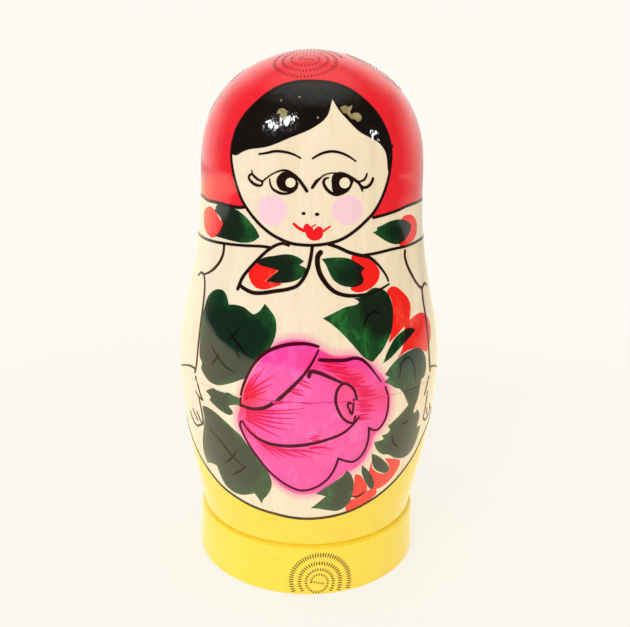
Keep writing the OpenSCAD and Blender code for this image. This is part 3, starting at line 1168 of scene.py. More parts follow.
    def tones(self, sheet: Sheet, spots: np.ndarray) -> dict[str, np.ndarray]:
        """Gives how thin the green lies at points of the leaves, and where it lies over red.

        Args:
            sheet: the flat sheet with all its areas.
            spots: the points on the sheet.

        Returns:
            The two tones by their names, from 0 to 1.
        """
        depth = sheet.depth(spots, Paint.LEAF)
        light = self.edge_light * np.clip(1 - depth / self.edge_reach, 0, 1)
        over = np.interp(sheet.depth(spots, Paint.PETAL), self.over_edge, (0, 1))
        wide = sheet.profile.width_of_degree(spots[:, 1])
        for marks, more_light, more_dark in ((self.lit, 1, 0), (self.dark, -1, self.dark_over)):
            for x, z, reach, strength in marks:
                off = spots - sheet.flat_points(((x, z),))[0]
                away = np.hypot(off[:, 0] * wide, off[:, 1]) / reach
                near = np.clip(self.spot_slope * (1 - away), 0, 1)
                light = light + more_light * strength * near
                over = over + more_dark * strength * near
        return {"light": np.clip(light, 0, 1), "over": np.clip(over, 0, 1)}


@dataclass(frozen=True)
class FlowerPainting:
    """The small red flowers at the right of the rose."""

    petals: tuple[Points, ...] = (
        (
            (35.2, 93), (37.5, 94.1), (40.5, 94), (44.5, 92.3), (48, 90), (49, 88.2), (48, 85.5),
            (46, 83.5), (42, 82.3), (38, 80.7), (33.5, 79, SHARP), (36.5, 84), (37.5, 88), (37, 91),
        ),
        (
            (44, 83.5), (48, 84.2), (54, 85), (59, 84.6), (63, 83), (65.5, 80.5), (65, 77.5), (61, 74.5),
            (58, 73.2), (54, 74.5), (49, 75.7), (42, 75.5), (37.5, 74.3, SHARP), (41, 77),
        ),
        (
            (20.6, 40.3), (22.5, 40.2), (24.5, 38.8), (27.3, 35.5), (27.5, 33.5), (25, 32.6), (21.5, 32.3),
            (20.2, 34), (20.6, 37.5),
        ),
        (
            (18, 29), (19.7, 31.5), (22, 32), (26, 32.8), (29, 34), (32.5, 33.5), (33.3, 32), (30, 30.2),
            (24, 28.7), (18.5, 27.9),
        ),
        (
            (28, 44), (28.3, 42), (30, 40.5), (33, 39), (36, 38.3), (38.5, 38.8), (37.5, 41), (35, 43.5),
            (38, 43), (42, 42), (44.8, 40.8), (45, 39.3), (43, 36.8), (39, 34.5), (34, 33.5), (30, 34),
            (28.5, 36.5), (27, 39.5),
        ),
    )
    shade: Stroke = Stroke((
        (20, 33.2), (22, 32.5), (24.5, 32.8), (26.5, 33.8),
    ), (0.3, 0.8, 0.4), Paint.MAROON, True)

    def paint(self, sheet: Sheet) -> None:
        """Draws the flowers on a flat sheet."""
        sheet.areas([Area(points, Paint.PETAL) for points in self.petals])
        sheet.strokes([self.shade])


@dataclass(frozen=True)
class RosePainting:
    """The large pink rose: its dyed ground, its dark lines and its crimson streaks."""

    ground: Points = (
        (-29, 56), (-27.5, 61), (-25.5, 66.5), (-22.5, 71.5), (-18, 76.5), (-12, 80.3), (-5, 81.6), (1, 81),
        (5, 79), (10, 77.4), (18, 77), (24, 74.8), (29, 71.3), (33.3, 67), (34.8, 62), (34, 57.5), (31, 54),
        (28, 52), (27, 49), (24.5, 45), (20.5, 42.3), (16, 41), (12, 38.5), (7, 35.9), (0, 34.5), (-6, 35),
        (-12, 37.5), (-17, 41.5), (-22, 46.7), (-26.5, 51.5),
    )
    hearts: tuple[tuple[float, float, float, float, float], ...] = (
        (-27, 62.5, 17, 9, 1.0), (14, 72, 13, 6, 0.75), (22, 65, 10, 8, 0.65), (31, 63, 8, 9, 0.5),
        (5, 49, 12, 4, 0.35), (-17, 49, 9, 6, 0.4), (9, 42, 8, 4, 0.25), (0, 76, 8, 4, 0.35),
        (8, 76.3, 8, 3, 0.6), (1, 73.5, 6, 3, 0.3), (12.5, 65, 5, 5, 0.45), (15.5, 60, 5, 5, 0.45),
        (26, 54, 4, 4, 0.3), (-23.5, 53.5, 6, 5, 0.4), (-23, 66, 8, 6, 0.5),
    )
    lines: tuple[Stroke, ...] = (
        Stroke((
            (-27, 61), (-26.5, 64.5), (-24.5, 69), (-21, 74), (-16, 77.6), (-10, 79.5), (-5, 80.2),
            (0, 80.2), (3.7, 79.6),
        ), (0.6, 0.8, 0.95, 1.0, 1.0, 0.8), Paint.MAROON),
        Stroke((
            (3.9, 78.7), (2, 76), (-1.5, 72), (-6, 68.3), (-10, 65.3), (-14, 62.8), (-18, 61.3),
            (-22, 60.8), (-26.5, 61.2),
        ), (0.45, 0.8, 1.05, 1.1, 1.0, 0.8), Paint.MAROON),
        Stroke((
            (4.3, 76), (10, 75.8), (14, 75.7), (18, 76.1), (21, 75.5), (24, 73.5), (27, 70.7), (29.3, 68.5),
        ), (1.0, 1.0, 0.95, 0.9, 0.6, 0.35), Paint.MAROON),
        Stroke((
            (0.3, 71.5), (1, 72.8), (4, 72.5), (7, 71.6), (11, 70.2), (13.5, 69.3),
        ), (1.15, 1.0, 0.7), Paint.MAROON),
        Stroke((
            (18.8, 64.6), (18, 66.8), (16, 68.6), (13.5, 69.3), (11.3, 67.8), (10.5, 65), (11.2, 62.5),
            (13.5, 59.3), (16, 57.8), (18, 57.5), (18.6, 59.3),
        ), (0.7, 0.8, 0.8, 0.7), Paint.MAROON),
        Stroke((
            (17.7, 64.5), (17.6, 62), (17.2, 60), (16.3, 61.2), (15.3, 63), (15.6, 63.6), (16.6, 63.3),
        ), (0.6,), Paint.MAROON, True),
        Stroke((
            (-26.2, 56.5), (-24.5, 54.5), (-21, 52.5), (-16, 51), (-10, 50.6), (-4, 50.9), (2, 51.7),
            (8, 52.9), (14, 54.6), (18, 57), (20.2, 59),
        ), (0.5, 0.9, 1.0, 0.8, 0.6), Paint.MAROON),
        Stroke((
            (31.2, 66.8), (32.8, 64), (33.2, 60.5), (32, 56.5), (29.5, 54.3), (27, 54.2), (24.8, 55.2),
        ), (0.5, 0.65, 0.6), Paint.MAROON),
        Stroke((
            (24.8, 55.2), (25, 52), (24, 48.5), (22, 46.2), (19, 45), (16, 45.5), (12.7, 46.6),
        ), (0.65,), Paint.MAROON),
        Stroke((
            (12.7, 46.6), (11.5, 43.5), (9, 40.2), (5.5, 37.9), (1, 36.4), (-3, 36.2), (-8, 37.6),
            (-12, 39.5), (-16, 42), (-20, 45.5), (-24, 49.5), (-26.5, 53), (-27.5, 55), (-27, 56.2),
        ), (0.65,), Paint.MAROON),
    )
    streaks: tuple[Points, ...] = (
        ((-24.6, 64.2), (-20.5, 69.3), (-16.8, 73.1)),
        ((-24, 65.2), (-18, 68.6), (-12.6, 71.4)),
        ((-23.5, 64.4), (-18, 67.1), (-13.3, 68.8)),
        ((-24.7, 63.3), (-19, 65.5), (-15.4, 66.7)),
        ((-24.6, 65.4), (-22.2, 69.1), (-19.6, 71.4)),
        ((-14, 62.9), (-6.6, 64), (1.3, 63.6)),
        ((-24, 60.4), (-12.5, 61.1), (-1, 62.4)),
        ((-24, 59.8), (-13.3, 60.2), (-2.7, 61)),
        ((-24, 59.2), (-14, 59), (-4, 59.3)),
        ((-24, 58.6), (-15, 57.7), (-5.6, 57.5)),
        ((-24, 58), (-15.8, 56.5), (-7.2, 55.6)),
        ((-24.4, 57.3), (-17.4, 55.2), (-10.3, 53.1)),
        ((-24, 54.7), (-18.3, 50.4), (-11, 46.3)),
        ((-22.3, 53.6), (-15, 49.4), (-8, 46.8)),
        ((-20, 52), (-11.8, 49.1), (-4, 47)),
        ((-17.4, 51), (-9.5, 48.9), (-1, 47.1)),
        ((-11.8, 49.6), (-4.7, 49), (2, 47.1)),
        ((-5.6, 49.6), (0.3, 49.3), (5.6, 48.3)),
        ((1.2, 50.3), (6.4, 50.5), (10.3, 49.5)),
    )
    streak_widths: tuple[float, ...] = (0.85, 0.85, 0.5, 0.15)
    dabs: tuple[Points, ...] = (
        ((5.6, 74.6), (10.2, 74.2), (14, 73.8)),
        ((6.4, 73.6), (11, 73), (15.6, 73.2)),
        ((11, 71.7), (15.6, 70.9), (20.3, 71)),
        ((13.3, 70.4), (17.2, 69.8), (21.2, 70.1)),
        ((16.4, 68.7), (21.4, 68.4)),
        ((18.8, 67.1), (24.8, 67.2)),
        ((19.2, 65.6), (26.6, 65.7)),
        ((19.4, 62.9), (25, 62.7)),
        ((19.5, 61.2), (26, 61)),
        ((18.4, 58.8), (24.4, 58.8)),
        ((-3.4, 69.8), (0.4, 68.8)),
        ((-6.5, 67.2), (-2, 66.7)),
        ((1.2, 53.2), (5, 53.4)),
    )
    dab_widths: tuple[float, ...] = (0.2, 0.7, 0.5, 0.15)
    dab_hairs: Points = ((0.4, 0.7), (-0.7, 0.0), (0.9, -0.6))

    def blush(self, sheet: Sheet, spots: np.ndarray) -> np.ndarray:
        """Gives how red the pink is at points of a flat sheet, from 0 to 1."""
        result = np.zeros(len(spots))
        for x, z, wide, high, depth in self.hearts:
            off = (spots - sheet.flat_points(((x, z),))[0]) / [wide, high]
            result = result + depth * np.clip(1 - np.hypot(*off.T), 0, 1)
        return np.clip(result, 0, 1)

    def paint(self, sheet: Sheet) -> None:
        """Draws the rose's lines and streaks on a flat sheet."""
        sheet.strokes(self.lines)
        sheet.strokes([Stroke(points, self.streak_widths, Paint.CRIMSON, True) for points in self.streaks])
        for slip, rise in self.dab_hairs:
            dabs = [tuple((x + slip, z + rise) for x, z in points) for points in self.dabs]
            sheet.strokes([Stroke(points, self.dab_widths, Paint.CRIMSON, True) for points in dabs])


@dataclass(frozen=True)
class SkirtPainting:
    """The yellow skirt, cut away in front by the apron's round edge."""

    edge: Points = (
        (-180, 61), (-150, 60.8), (-120, 59), (-105, 56), (-90, 51), (-70, 42.6), (-56, 36.3), (-50, 34),
        (-44, 31.8), (-40, 30.7), (-34, 29.5), (-28, 28.4), (-20, 27.4), (-14, 26.9), (-8, 26.3), (0, 26),
        (10, 26.4), (16, 27), (22, 27.9), (28, 29.2), (34, 30.7), (40, 32.6), (46, 34.8), (52, 37.5),
        (58, 40.5), (62, 43.2), (72, 47.6), (90, 53), (105, 57), (120, 59.2), (150, 60.8), (180, 61),
    )
    edge_width: float = 0.85

    def paint(self, sheet: Sheet) -> None:
        """Draws the apron's edge on a flat sheet."""
        sheet.strokes([Stroke(self.edge, (self.edge_width,), Paint.BROWN)])


@dataclass(frozen=True)
class Spiral:
    """One stamped spiral: where its middle lies, how large it is and how far its turns lie apart."""

    centre: Pair
    radius: float
    pitch: float
    opening: float
    paint: Paint
    ticks: float = 1.0
    spacing: float = 0.78


@dataclass(frozen=True)
class SpiralPainting:
    """The spirals of short ticks round the crown and the foot."""

    foot: Spiral = Spiral((6.3, 4.45), 9.9, 0.8, 0.25, Paint.FOOT_STAMP)
    foot_others: Points = ((126, 4.45), (-114, 4.45))
    crown: Spiral = Spiral((-5.4, 155.3), 10.8, 2.5, 0.0, Paint.CROWN_STAMP, 0.75, 1.05)
    crown_others: Points = ((80, 154.5), (172, 153), (-88, 147.5))
    middle: Points = ((1.6, -0.5), (-1.9, 0.2))
    middle_ticks: int = 6
    middle_long: float = 0.55
    first_reach: float = 2.2
    tick_width: float = 0.36
    tick_lengths: Pair = (0.6, 1.4)
    tick_grows: Pair = (0.0, 0.7)
    tick_shape: Points = ((-0.5, -0.35), (0, -0.5), (0.5, -0.35), (0.5, 0.35), (0, 0.5), (-0.5, 0.35))

    def paint(self, sheet: Sheet) -> None:
        """Stamps the spirals on a flat sheet."""
        for first, others in ((self.foot, self.foot_others), (self.crown, self.crown_others)):
            for spiral in (first, *(replace(first, centre=spot) for spot in others)):
                self.wind(sheet, spiral)

    def wind(self, sheet: Sheet, spiral: Spiral) -> None:
        """Stamps one spiral from its middle outwards.

        Args:
            sheet: the flat sheet.
            spiral: the spiral.
        """
        start, end = (np.array(p) for p in self.middle)
        for share in np.linspace(0, 1, self.middle_ticks):
            self.tick(sheet, spiral, start + share * (end - start), math.pi / 2, self.middle_long)
        angle, reach = math.pi, self.first_reach
        while reach < spiral.radius:
            share = (reach - self.first_reach) / (spiral.radius - self.first_reach)
            long = spiral.ticks * np.interp(share, self.tick_grows, self.tick_lengths)
            spot = reach * np.array([math.cos(angle), math.sin(angle)])
            self.tick(sheet, spiral, spot, angle, long)
            turn = spiral.spacing / reach
            angle -= turn
            reach += (spiral.pitch + spiral.opening * reach) * turn / (2 * math.pi)

    def tick(self, sheet: Sheet, spiral: Spiral, spot: np.ndarray, angle: float, long: float) -> None:
        """Stamps one tick.

        Args:
            sheet: the flat sheet.
            spiral: its spiral.
            spot: its place from the spiral's middle, in millimetres.
            angle: its direction, in radians.
            long: its length.
        """
        out = np.array([math.cos(angle), math.sin(angle)]) * long
        side = np.array([-math.sin(angle), math.cos(angle)]) * self.tick_width
        loop = np.array([spot + a * out + b * side for a, b in self.tick_shape])
        sheet.stamp(spiral.centre, loop, spiral.paint)


class Profile:
    """The outside line of one doll, from the middle of its base to the top of its head, in millimetres."""

    LEAST_RADIUS = 2.0
    SAME_SPOT = 1e-6

    def __init__(self, line: np.ndarray, seam: float) -> None:
        """Measures the line.

        Args:
            line: radius and height of its points, from the base upwards.
            seam: the height at which the two halves meet.
        """
        keep = np.concatenate([[True], np.hypot(*np.diff(line, axis=0).T) > self.SAME_SPOT])
        self.line = line[keep]
        run = np.diff(self.line, axis=0)
        length = np.hypot(run[:, 0], run[:, 1])
        self.arc = np.concatenate([[0.0], np.cumsum(length)])
        self.normal_arc = (self.arc[:-1] + self.arc[1:]) / 2
        self.normal = np.stack([run[:, 1] / length, -run[:, 0] / length], 1)
        self.seam = float(np.interp(seam, self.line[:, 1], self.arc))
        self.end = float(self.arc[-1])

    def at(self, arc: np.ndarray) -> tuple[np.ndarray, np.ndarray, np.ndarray, np.ndarray]:
        """Gives radius, height and the outward normal's two parts at distances along the line."""
        radius = np.interp(arc, self.arc, self.line[:, 0])
        height = np.interp(arc, self.arc, self.line[:, 1])
        out = np.interp(arc, self.normal_arc, self.normal[:, 0])
        up = np.interp(arc, self.normal_arc, self.normal[:, 1])
        size = np.hypot(out, up)
        return radius, height, out / size, up / size

    def arc_of(self, height: np.ndarray) -> np.ndarray:
        """Gives how far along the line a height on the largest doll is."""
        return np.interp(height, self.line[:, 1], self.arc)

    def width_of_degree(self, arc: np.ndarray) -> np.ndarray:
        """Gives how many millimetres one degree is at distances along the line."""
        return np.radians(np.maximum(self.at(arc)[0], self.LEAST_RADIUS))

    def from_largest(self, arc: np.ndarray, largest: Profile) -> np.ndarray:
        """Turns distances along the largest doll's line into distances along this one.

        Args:
            arc: the distances.
            largest: the largest doll's line.

        Returns:
            The distances here, with the seam on the seam.
        """
        return np.interp(arc, [0, largest.seam, largest.end], [0, self.seam, self.end])

    def to_largest(self, arc: np.ndarray, largest: Profile) -> np.ndarray:
        """Turns distances along this line into distances along the largest doll's line."""
        return np.interp(arc, [0, self.seam, self.end], [0, largest.seam, largest.end])


class Sheet:
    """The painting laid out flat: degrees across, millimetres along the largest doll's outside upwards."""

    AREA_STEP = 0.7
    STROKE_STEP = 0.9
    CELL = (1.7, 1.25)
    SEAM_GAP = 0.15
    FOOT_LOW = 0.7
    CROWN = 140.0
    SOFT = (Paint.CRIMSON,)
    LIFT_STEP = 0.0007
    LIFT_STEPS = 11
    FAR = 6.0
    OVAL_POINTS = 24
    END_TURNS = np.radians((-60, -30, 0, 30, 60))
    CUT_MERGE = 0.00001

    def __init__(self, profile: Profile, bold: float, fine: bool) -> None:
        """Starts an empty sheet.

        Args:
            profile: the largest doll's outside line.
            bold: how much wider its lines are than on the largest doll.
            fine: whether it has the finest details.
        """
        self.profile = profile
        self.bold = bold
        self.fine = fine
        self.meshes: dict[bool, tuple[list, list, list]] = {True: ([], [], []), False: ([], [], [])}
        self.cores: dict[bool, list[float]] = {True: [], False: []}
        self.outlines: dict[Paint, list[np.ndarray]] = {}
        self.count = 0
        self.flat: dict[tuple[Paint, Half], tuple[np.ndarray, list]] = {}

    def lift(self, paint: Paint) -> float:
        """Gives the next height off the wood for a colour, so that no two films share a plane."""
        self.count += 1
        return PALETTE[paint].lift + self.LIFT_STEP * (self.count % self.LIFT_STEPS)

    def flat_points(self, points: Points) -> np.ndarray:
        """Lays points of the paint map on the sheet."""
        across = np.array([p[0] for p in points], float)
        return np.stack([across, self.profile.arc_of(np.array([p[1] for p in points], float))], 1)

    def outline(self, points: Points) -> np.ndarray:
        """Smooths a closed outline between its corners.

        Args:
            points: the outline's points, with SHARP on its corners.

        Returns:
            Its points on the sheet, counter-clockwise.
        """
        flat = self.flat_points(points)
        corners = [k for k, p in enumerate(points) if len(p) > 2]
        if not corners:
            loop = smooth_run(flat, self.AREA_STEP, True)
        else:
            row = np.vstack([flat[corners[0] :], flat[: corners[0] + 1]])
            cuts = [c - corners[0] for c in corners] + [len(flat)]
            runs = [smooth_run(row[a : b + 1], self.AREA_STEP)[:-1] for a, b in zip(cuts, cuts[1:])]
            loop = np.vstack(runs)
        after = np.roll(loop, -1, axis=0)
        turn = float(np.sum(loop[:, 0] * after[:, 1] - after[:, 0] * loop[:, 1]))
        return loop if turn > 0 else loop[::-1]

    def face(self, loop: np.ndarray, paint: Paint, cut: bool) -> None:
        """Adds one flat face."""
        verts, faces, paints = self.meshes[cut]
        lift = self.lift(paint)
        faces.append(list(range(len(verts), len(verts) + len(loop))))
        paints.append(paint)
        verts.extend((float(x), lift, float(z)) for x, z in loop)
        self.cores[cut].extend([1.0] * len(loop))

    def areas(self, areas: Iterable[Area]) -> None:
        """Adds closed painted areas."""
        for area in areas:
            if self.fine or not area.fine:
                loop = self.outline(area.points)
                self.outlines.setdefault(area.paint, []).append(loop)
                self.face(loop, area.paint, True)

    def signed(self, spots: np.ndarray, loop: np.ndarray) -> np.ndarray:
        """Measures spots against a closed outline, above 0 inside it."""
        shape = np.array([float(self.profile.width_of_degree(loop[:, 1]).mean()), 1.0])
        closed = np.vstack([loop, loop[:1]])
        near = np.all((spots > loop.min(0) - self.FAR) & (spots < loop.max(0) + self.FAR), axis=1)
        result = np.full(len(spots), -self.FAR)
        gap = to_polyline(spots[near] * shape, closed * shape)[0]
        result[near] = np.where(inside(spots[near], loop), gap, -gap)
        return result

    def depth(self, spots: np.ndarray, paint: Paint) -> np.ndarray:
        """Gives how deep spots lie in a colour's areas, below 0 outside them all."""
        return np.max([self.signed(spots, loop) for loop in self.outlines[paint]], axis=0)

    def oval(self, spot: tuple[float, float, float, float], paint: Paint) -> None:
        """Adds a small oval.

        Args:
            spot: degrees, height, half width in degrees and half height in millimetres.
            paint: its colour.
        """
        turn = np.linspace(0, 2 * math.pi, self.OVAL_POINTS, endpoint=False)
        middle = self.flat_points((spot[:2],))[0]
        loop = np.stack([middle[0] + spot[2] * np.cos(turn), middle[1] + spot[3] * np.sin(turn)], 1)
        self.face(loop, paint, False)

    def stamp(self, centre: Pair, loop: np.ndarray, paint: Paint) -> None:
        """Adds one small mark, which only a fine sheet has.

        Args:
            centre: degrees and height of the place that the mark is measured from.
            loop: its outline, in millimetres to the right of that place and above it.
            paint: its colour.
        """
        across, arc = self.flat_points((centre,))[0]
        if centre[1] > self.CROWN:
            left = self.profile.end - arc - loop[:, 1]
            turned = across + np.degrees(np.arctan2(loop[:, 0], left))
            flat = np.stack([turned, self.profile.end - np.hypot(loop[:, 0], left)], 1)
        else:
            height = arc + loop[:, 1]
            flat = np.stack([across + loop[:, 0] / self.profile.width_of_degree(height), height], 1)
        if self.fine and flat[:, 1].min() > self.profile.arc_of(np.array([self.FOOT_LOW]))[0]:
            self.face(flat, paint, False)

    def strokes(self, strokes: Iterable[Stroke]) -> None:
        """Adds brush lines."""
        for stroke in strokes:
            if self.fine or not stroke.fine:
                self.stroke(stroke)

    def stroke(self, stroke: Stroke) -> None:
        """Adds one brush line as a strip with round ends.

        Args:
            stroke: the line.
        """
        verts, faces, paints = self.meshes[False]
        middle = smooth_run(self.flat_points(stroke.points), self.STROKE_STEP)
        wide = self.profile.width_of_degree(middle[:, 1])
        along = np.gradient(middle, axis=0)
        along[:, 0] *= wide
        along /= np.hypot(along[:, 0], along[:, 1])[:, None]
        side = np.stack([-along[:, 1], along[:, 0]], 1)
        place = np.concatenate([[0.0], np.cumsum(np.hypot(*np.diff(middle, axis=0).T))])
        marks = np.linspace(0, place[-1], max(2, len(stroke.widths)))
        given = stroke.widths if len(stroke.widths) > 1 else stroke.widths * 2
        half = np.interp(place, marks, given) * self.bold / 2
        lift = self.lift(stroke.paint)
        start = len(verts)
        stretch = np.stack([1 / wide, np.ones(len(wide))], 1)
        soft = stroke.paint in self.SOFT
        shares = (-1, 0, 1) if soft else (-1, 1)
        for share in shares:
            row = middle + share * side * half[:, None] * stretch
            verts.extend((float(x), lift, float(z)) for x, z in row)
            self.cores[False].extend([1.0 - soft * abs(share)] * len(row))
        count = len(middle)
        for k in range(start, start + (len(shares) - 1) * count):
            if (k - start) % count < count - 1:
                faces.append([k, k + 1, count + k + 1, count + k])
                paints.append(stroke.paint)
        last = start + (len(shares) - 1) * count
        for end, way in ((0, -1), (count - 1, 1)):
            first = len(verts)
            for a in self.END_TURNS:
                spot = along[end] * way * math.cos(a) + side[end] * way * math.sin(a)
                x, z = middle[end] + spot * half[end] * stretch[end]
                verts.append((float(x), lift, float(z)))
            self.cores[False].extend([1.0 - soft] * len(self.END_TURNS))
            sides = (start + end, last + end)[::way]
            tip = [sides[0], *range(first, len(verts)), sides[1]]
            faces.append(tip + [start + count + end] if soft else tip)
            paints.append(stroke.paint)

    def finish(self) -> None:
        """Cuts the sheet into cells that can follow the doll, and sorts them by colour and half."""
        for cut, (verts, faces, paints) in self.meshes.items():
            piece = new_piece("flat_painting", verts, [], faces)
            order = list(Paint)
            for polygon, paint in zip(piece.data.polygons, paints):
                polygon.material_index = order.index(paint)
            for paint in order:
                piece.data.materials.append(None)
            carry(piece, "core", self.cores[cut])
            bpy.ops.object.mode_set(mode="EDIT")
            seam = self.profile.seam
            heights = [seam - self.SEAM_GAP, seam + self.SEAM_GAP]
            if cut:
                span = np.array(verts)
                heights += list(np.arange(span[:, 2].min(), span[:, 2].max(), self.CELL[1]))
                for x in np.arange(span[:, 0].min(), span[:, 0].max(), self.CELL[0]):
                    self.slice(x, 0.0, (1, 0, 0))
            for z in heights:
                self.slice(0.0, z, (0, 0, 1))
            bpy.ops.object.mode_set(mode="OBJECT")
            self.sort(piece, order)
            bpy.data.objects.remove(piece)

    def slice(self, x: float, z: float, normal: tuple) -> None:
        """Cuts the whole sheet by one plane."""
        bpy.ops.mesh.select_all(action="SELECT")
        bpy.ops.mesh.bisect(plane_co=(x, 0, z), plane_no=normal, threshold=self.CUT_MERGE)

    def sort(self, piece: bpy.types.Object, order: list[Paint]) -> None:
        """Adds a cut sheet's faces to the lists by colour and half.

        Args:
            piece: the cut sheet.
            order: the colours in the order of its material slots.
        """
        mesh = piece.data
        cores = read_all(mesh.attributes["core"].data, "value", 1)
        points = np.hstack([read_all(mesh.vertices, "co", 3), cores])
        found: dict[tuple[Paint, Half], list] = {}
        for polygon in mesh.polygons:
            height = points[polygon.vertices][:, 2].mean() - self.profile.seam
            half = Half.SEAM if abs(height) < self.SEAM_GAP else Half.TOP if height > 0 else Half.BOTTOM
            found.setdefault((order[polygon.material_index], half), []).append(list(polygon.vertices))
        for key, faces in found.items():
            old, kept = self.flat.get(key, (np.empty((0, 4)), []))
            used = np.unique(np.concatenate(faces))
            renamed = dict(zip(used.tolist(), range(len(old), len(old) + len(used))))
            kept = kept + [[renamed[v] for v in f] for f in faces]
            self.flat[key] = (np.vstack([old, points[used]]), kept)

    def pick(self, paint: Paint, halves: Sequence[Half]) -> tuple[np.ndarray, list]:
        """Gives one colour's points and faces on some of the halves.

        Args:
            paint: the colour.
            halves: the halves that are wanted.

        Returns:
            The points, each with its share of the stroke's middle, and the faces, empty where there is none.
        """
        points, faces = np.empty((0, 4)), []
        for half in halves:
            more, added = self.flat.get((paint, half), (np.empty((0, 4)), []))
            faces = faces + [[v + len(points) for v in f] for f in added]
            points = np.vstack([points, more])
        return points, faces


class Zones:
    """Where each dye, and the shade painted into the groove above the foot, lies on the outside, as a
    distance in millimetres that is above 0 inside the zone.
    """

    NAMES = ("kerchief", "skirt", "rose", "blush", "cheek", "groove", "stain")
    OUTSIDE = -9.0
    HEM_STEP = 1.0
    GROOVE_BAND = (12.0, 28.0)
    GROOVE_SHADE_REACH = 1.6
    STAIN_REACH = 0.6

    def __init__(
        self,
        profile: Profile,
        face: FacePainting,
        kerchief: KerchiefPainting,
        rose: RosePainting,
        skirt: SkirtPainting,
        foliage: FoliagePainting,
    ) -> None:
        """Lays the zones' outlines on the flat sheet.

        Args:
            profile: the largest doll's outside line.
            face: the face, which the red leaves bare.
            kerchief: its hem ends the red.
            rose: its ground is pink.
            skirt: its edge ends the yellow.
            foliage: its leaf across the seam stains the wood there.
        """
        sheet = Sheet(profile, 1.0, True)
        self.sheet = sheet
        self.profile = profile
        self.face = face
        self.rose = rose
        self.window = sheet.outline(face.edge)
        self.ground = sheet.outline(rose.ground)
        self.leaf = sheet.outline(foliage.leaves[foliage.across_seam])
        hem = smooth_run(sheet.flat_points(kerchief.hem), self.HEM_STEP)
        self.hem = np.vstack([hem - [360, 0], hem])
        self.edge = smooth_run(sheet.flat_points(skirt.edge), self.HEM_STEP)
        # The groove above the foot lies at the outline's narrowest point there, and that is where the
        # painted shade is darkest.
        low, high = self.GROOVE_BAND
        near = profile.line[(profile.line[:, 1] > low) & (profile.line[:, 1] < high)]
        self.groove = float(profile.arc_of(near[np.argmin(near[:, 0]), 1]))

    def measure(self, degrees: np.ndarray, arc: np.ndarray) -> dict[str, np.ndarray]:
        """Measures every zone at points of the outside.

        Args:
            degrees: the points' turn from the front.
            arc: how far along the largest doll's line they are.

        Returns:
            Each zone's values by its name.
        """
        spots = np.stack([degrees, arc], 1)
        over_hem = arc - np.interp(degrees, self.hem[:, 0], self.hem[:, 1])
        values = {"kerchief": np.minimum(over_hem, -self.sheet.signed(spots, self.window))}
        values["skirt"] = np.interp(degrees, self.edge[:, 0], self.edge[:, 1]) - arc
        values["rose"] = self.sheet.signed(spots, self.ground)
        values["blush"] = self.rose.blush(self.sheet, spots)
        cheek = np.full(len(spots), self.OUTSIDE)
        for x, z, wide, high in self.face.cheeks:
            off = (spots - [x, self.profile.arc_of(np.array([z]))[0]]) / [wide, high]
            cheek = np.maximum(cheek, (1 - np.hypot(*off.T)) * high)
        values["cheek"] = cheek
        # Painted shade: how near each point lies to the groove above the foot.
        values["groove"] = 1 - np.abs(arc - self.groove) / self.GROOVE_SHADE_REACH
        near_seam = self.STAIN_REACH - np.abs(arc - self.profile.seam)
        values["stain"] = np.minimum(self.sheet.signed(spots, self.leaf), near_seam)
        return values


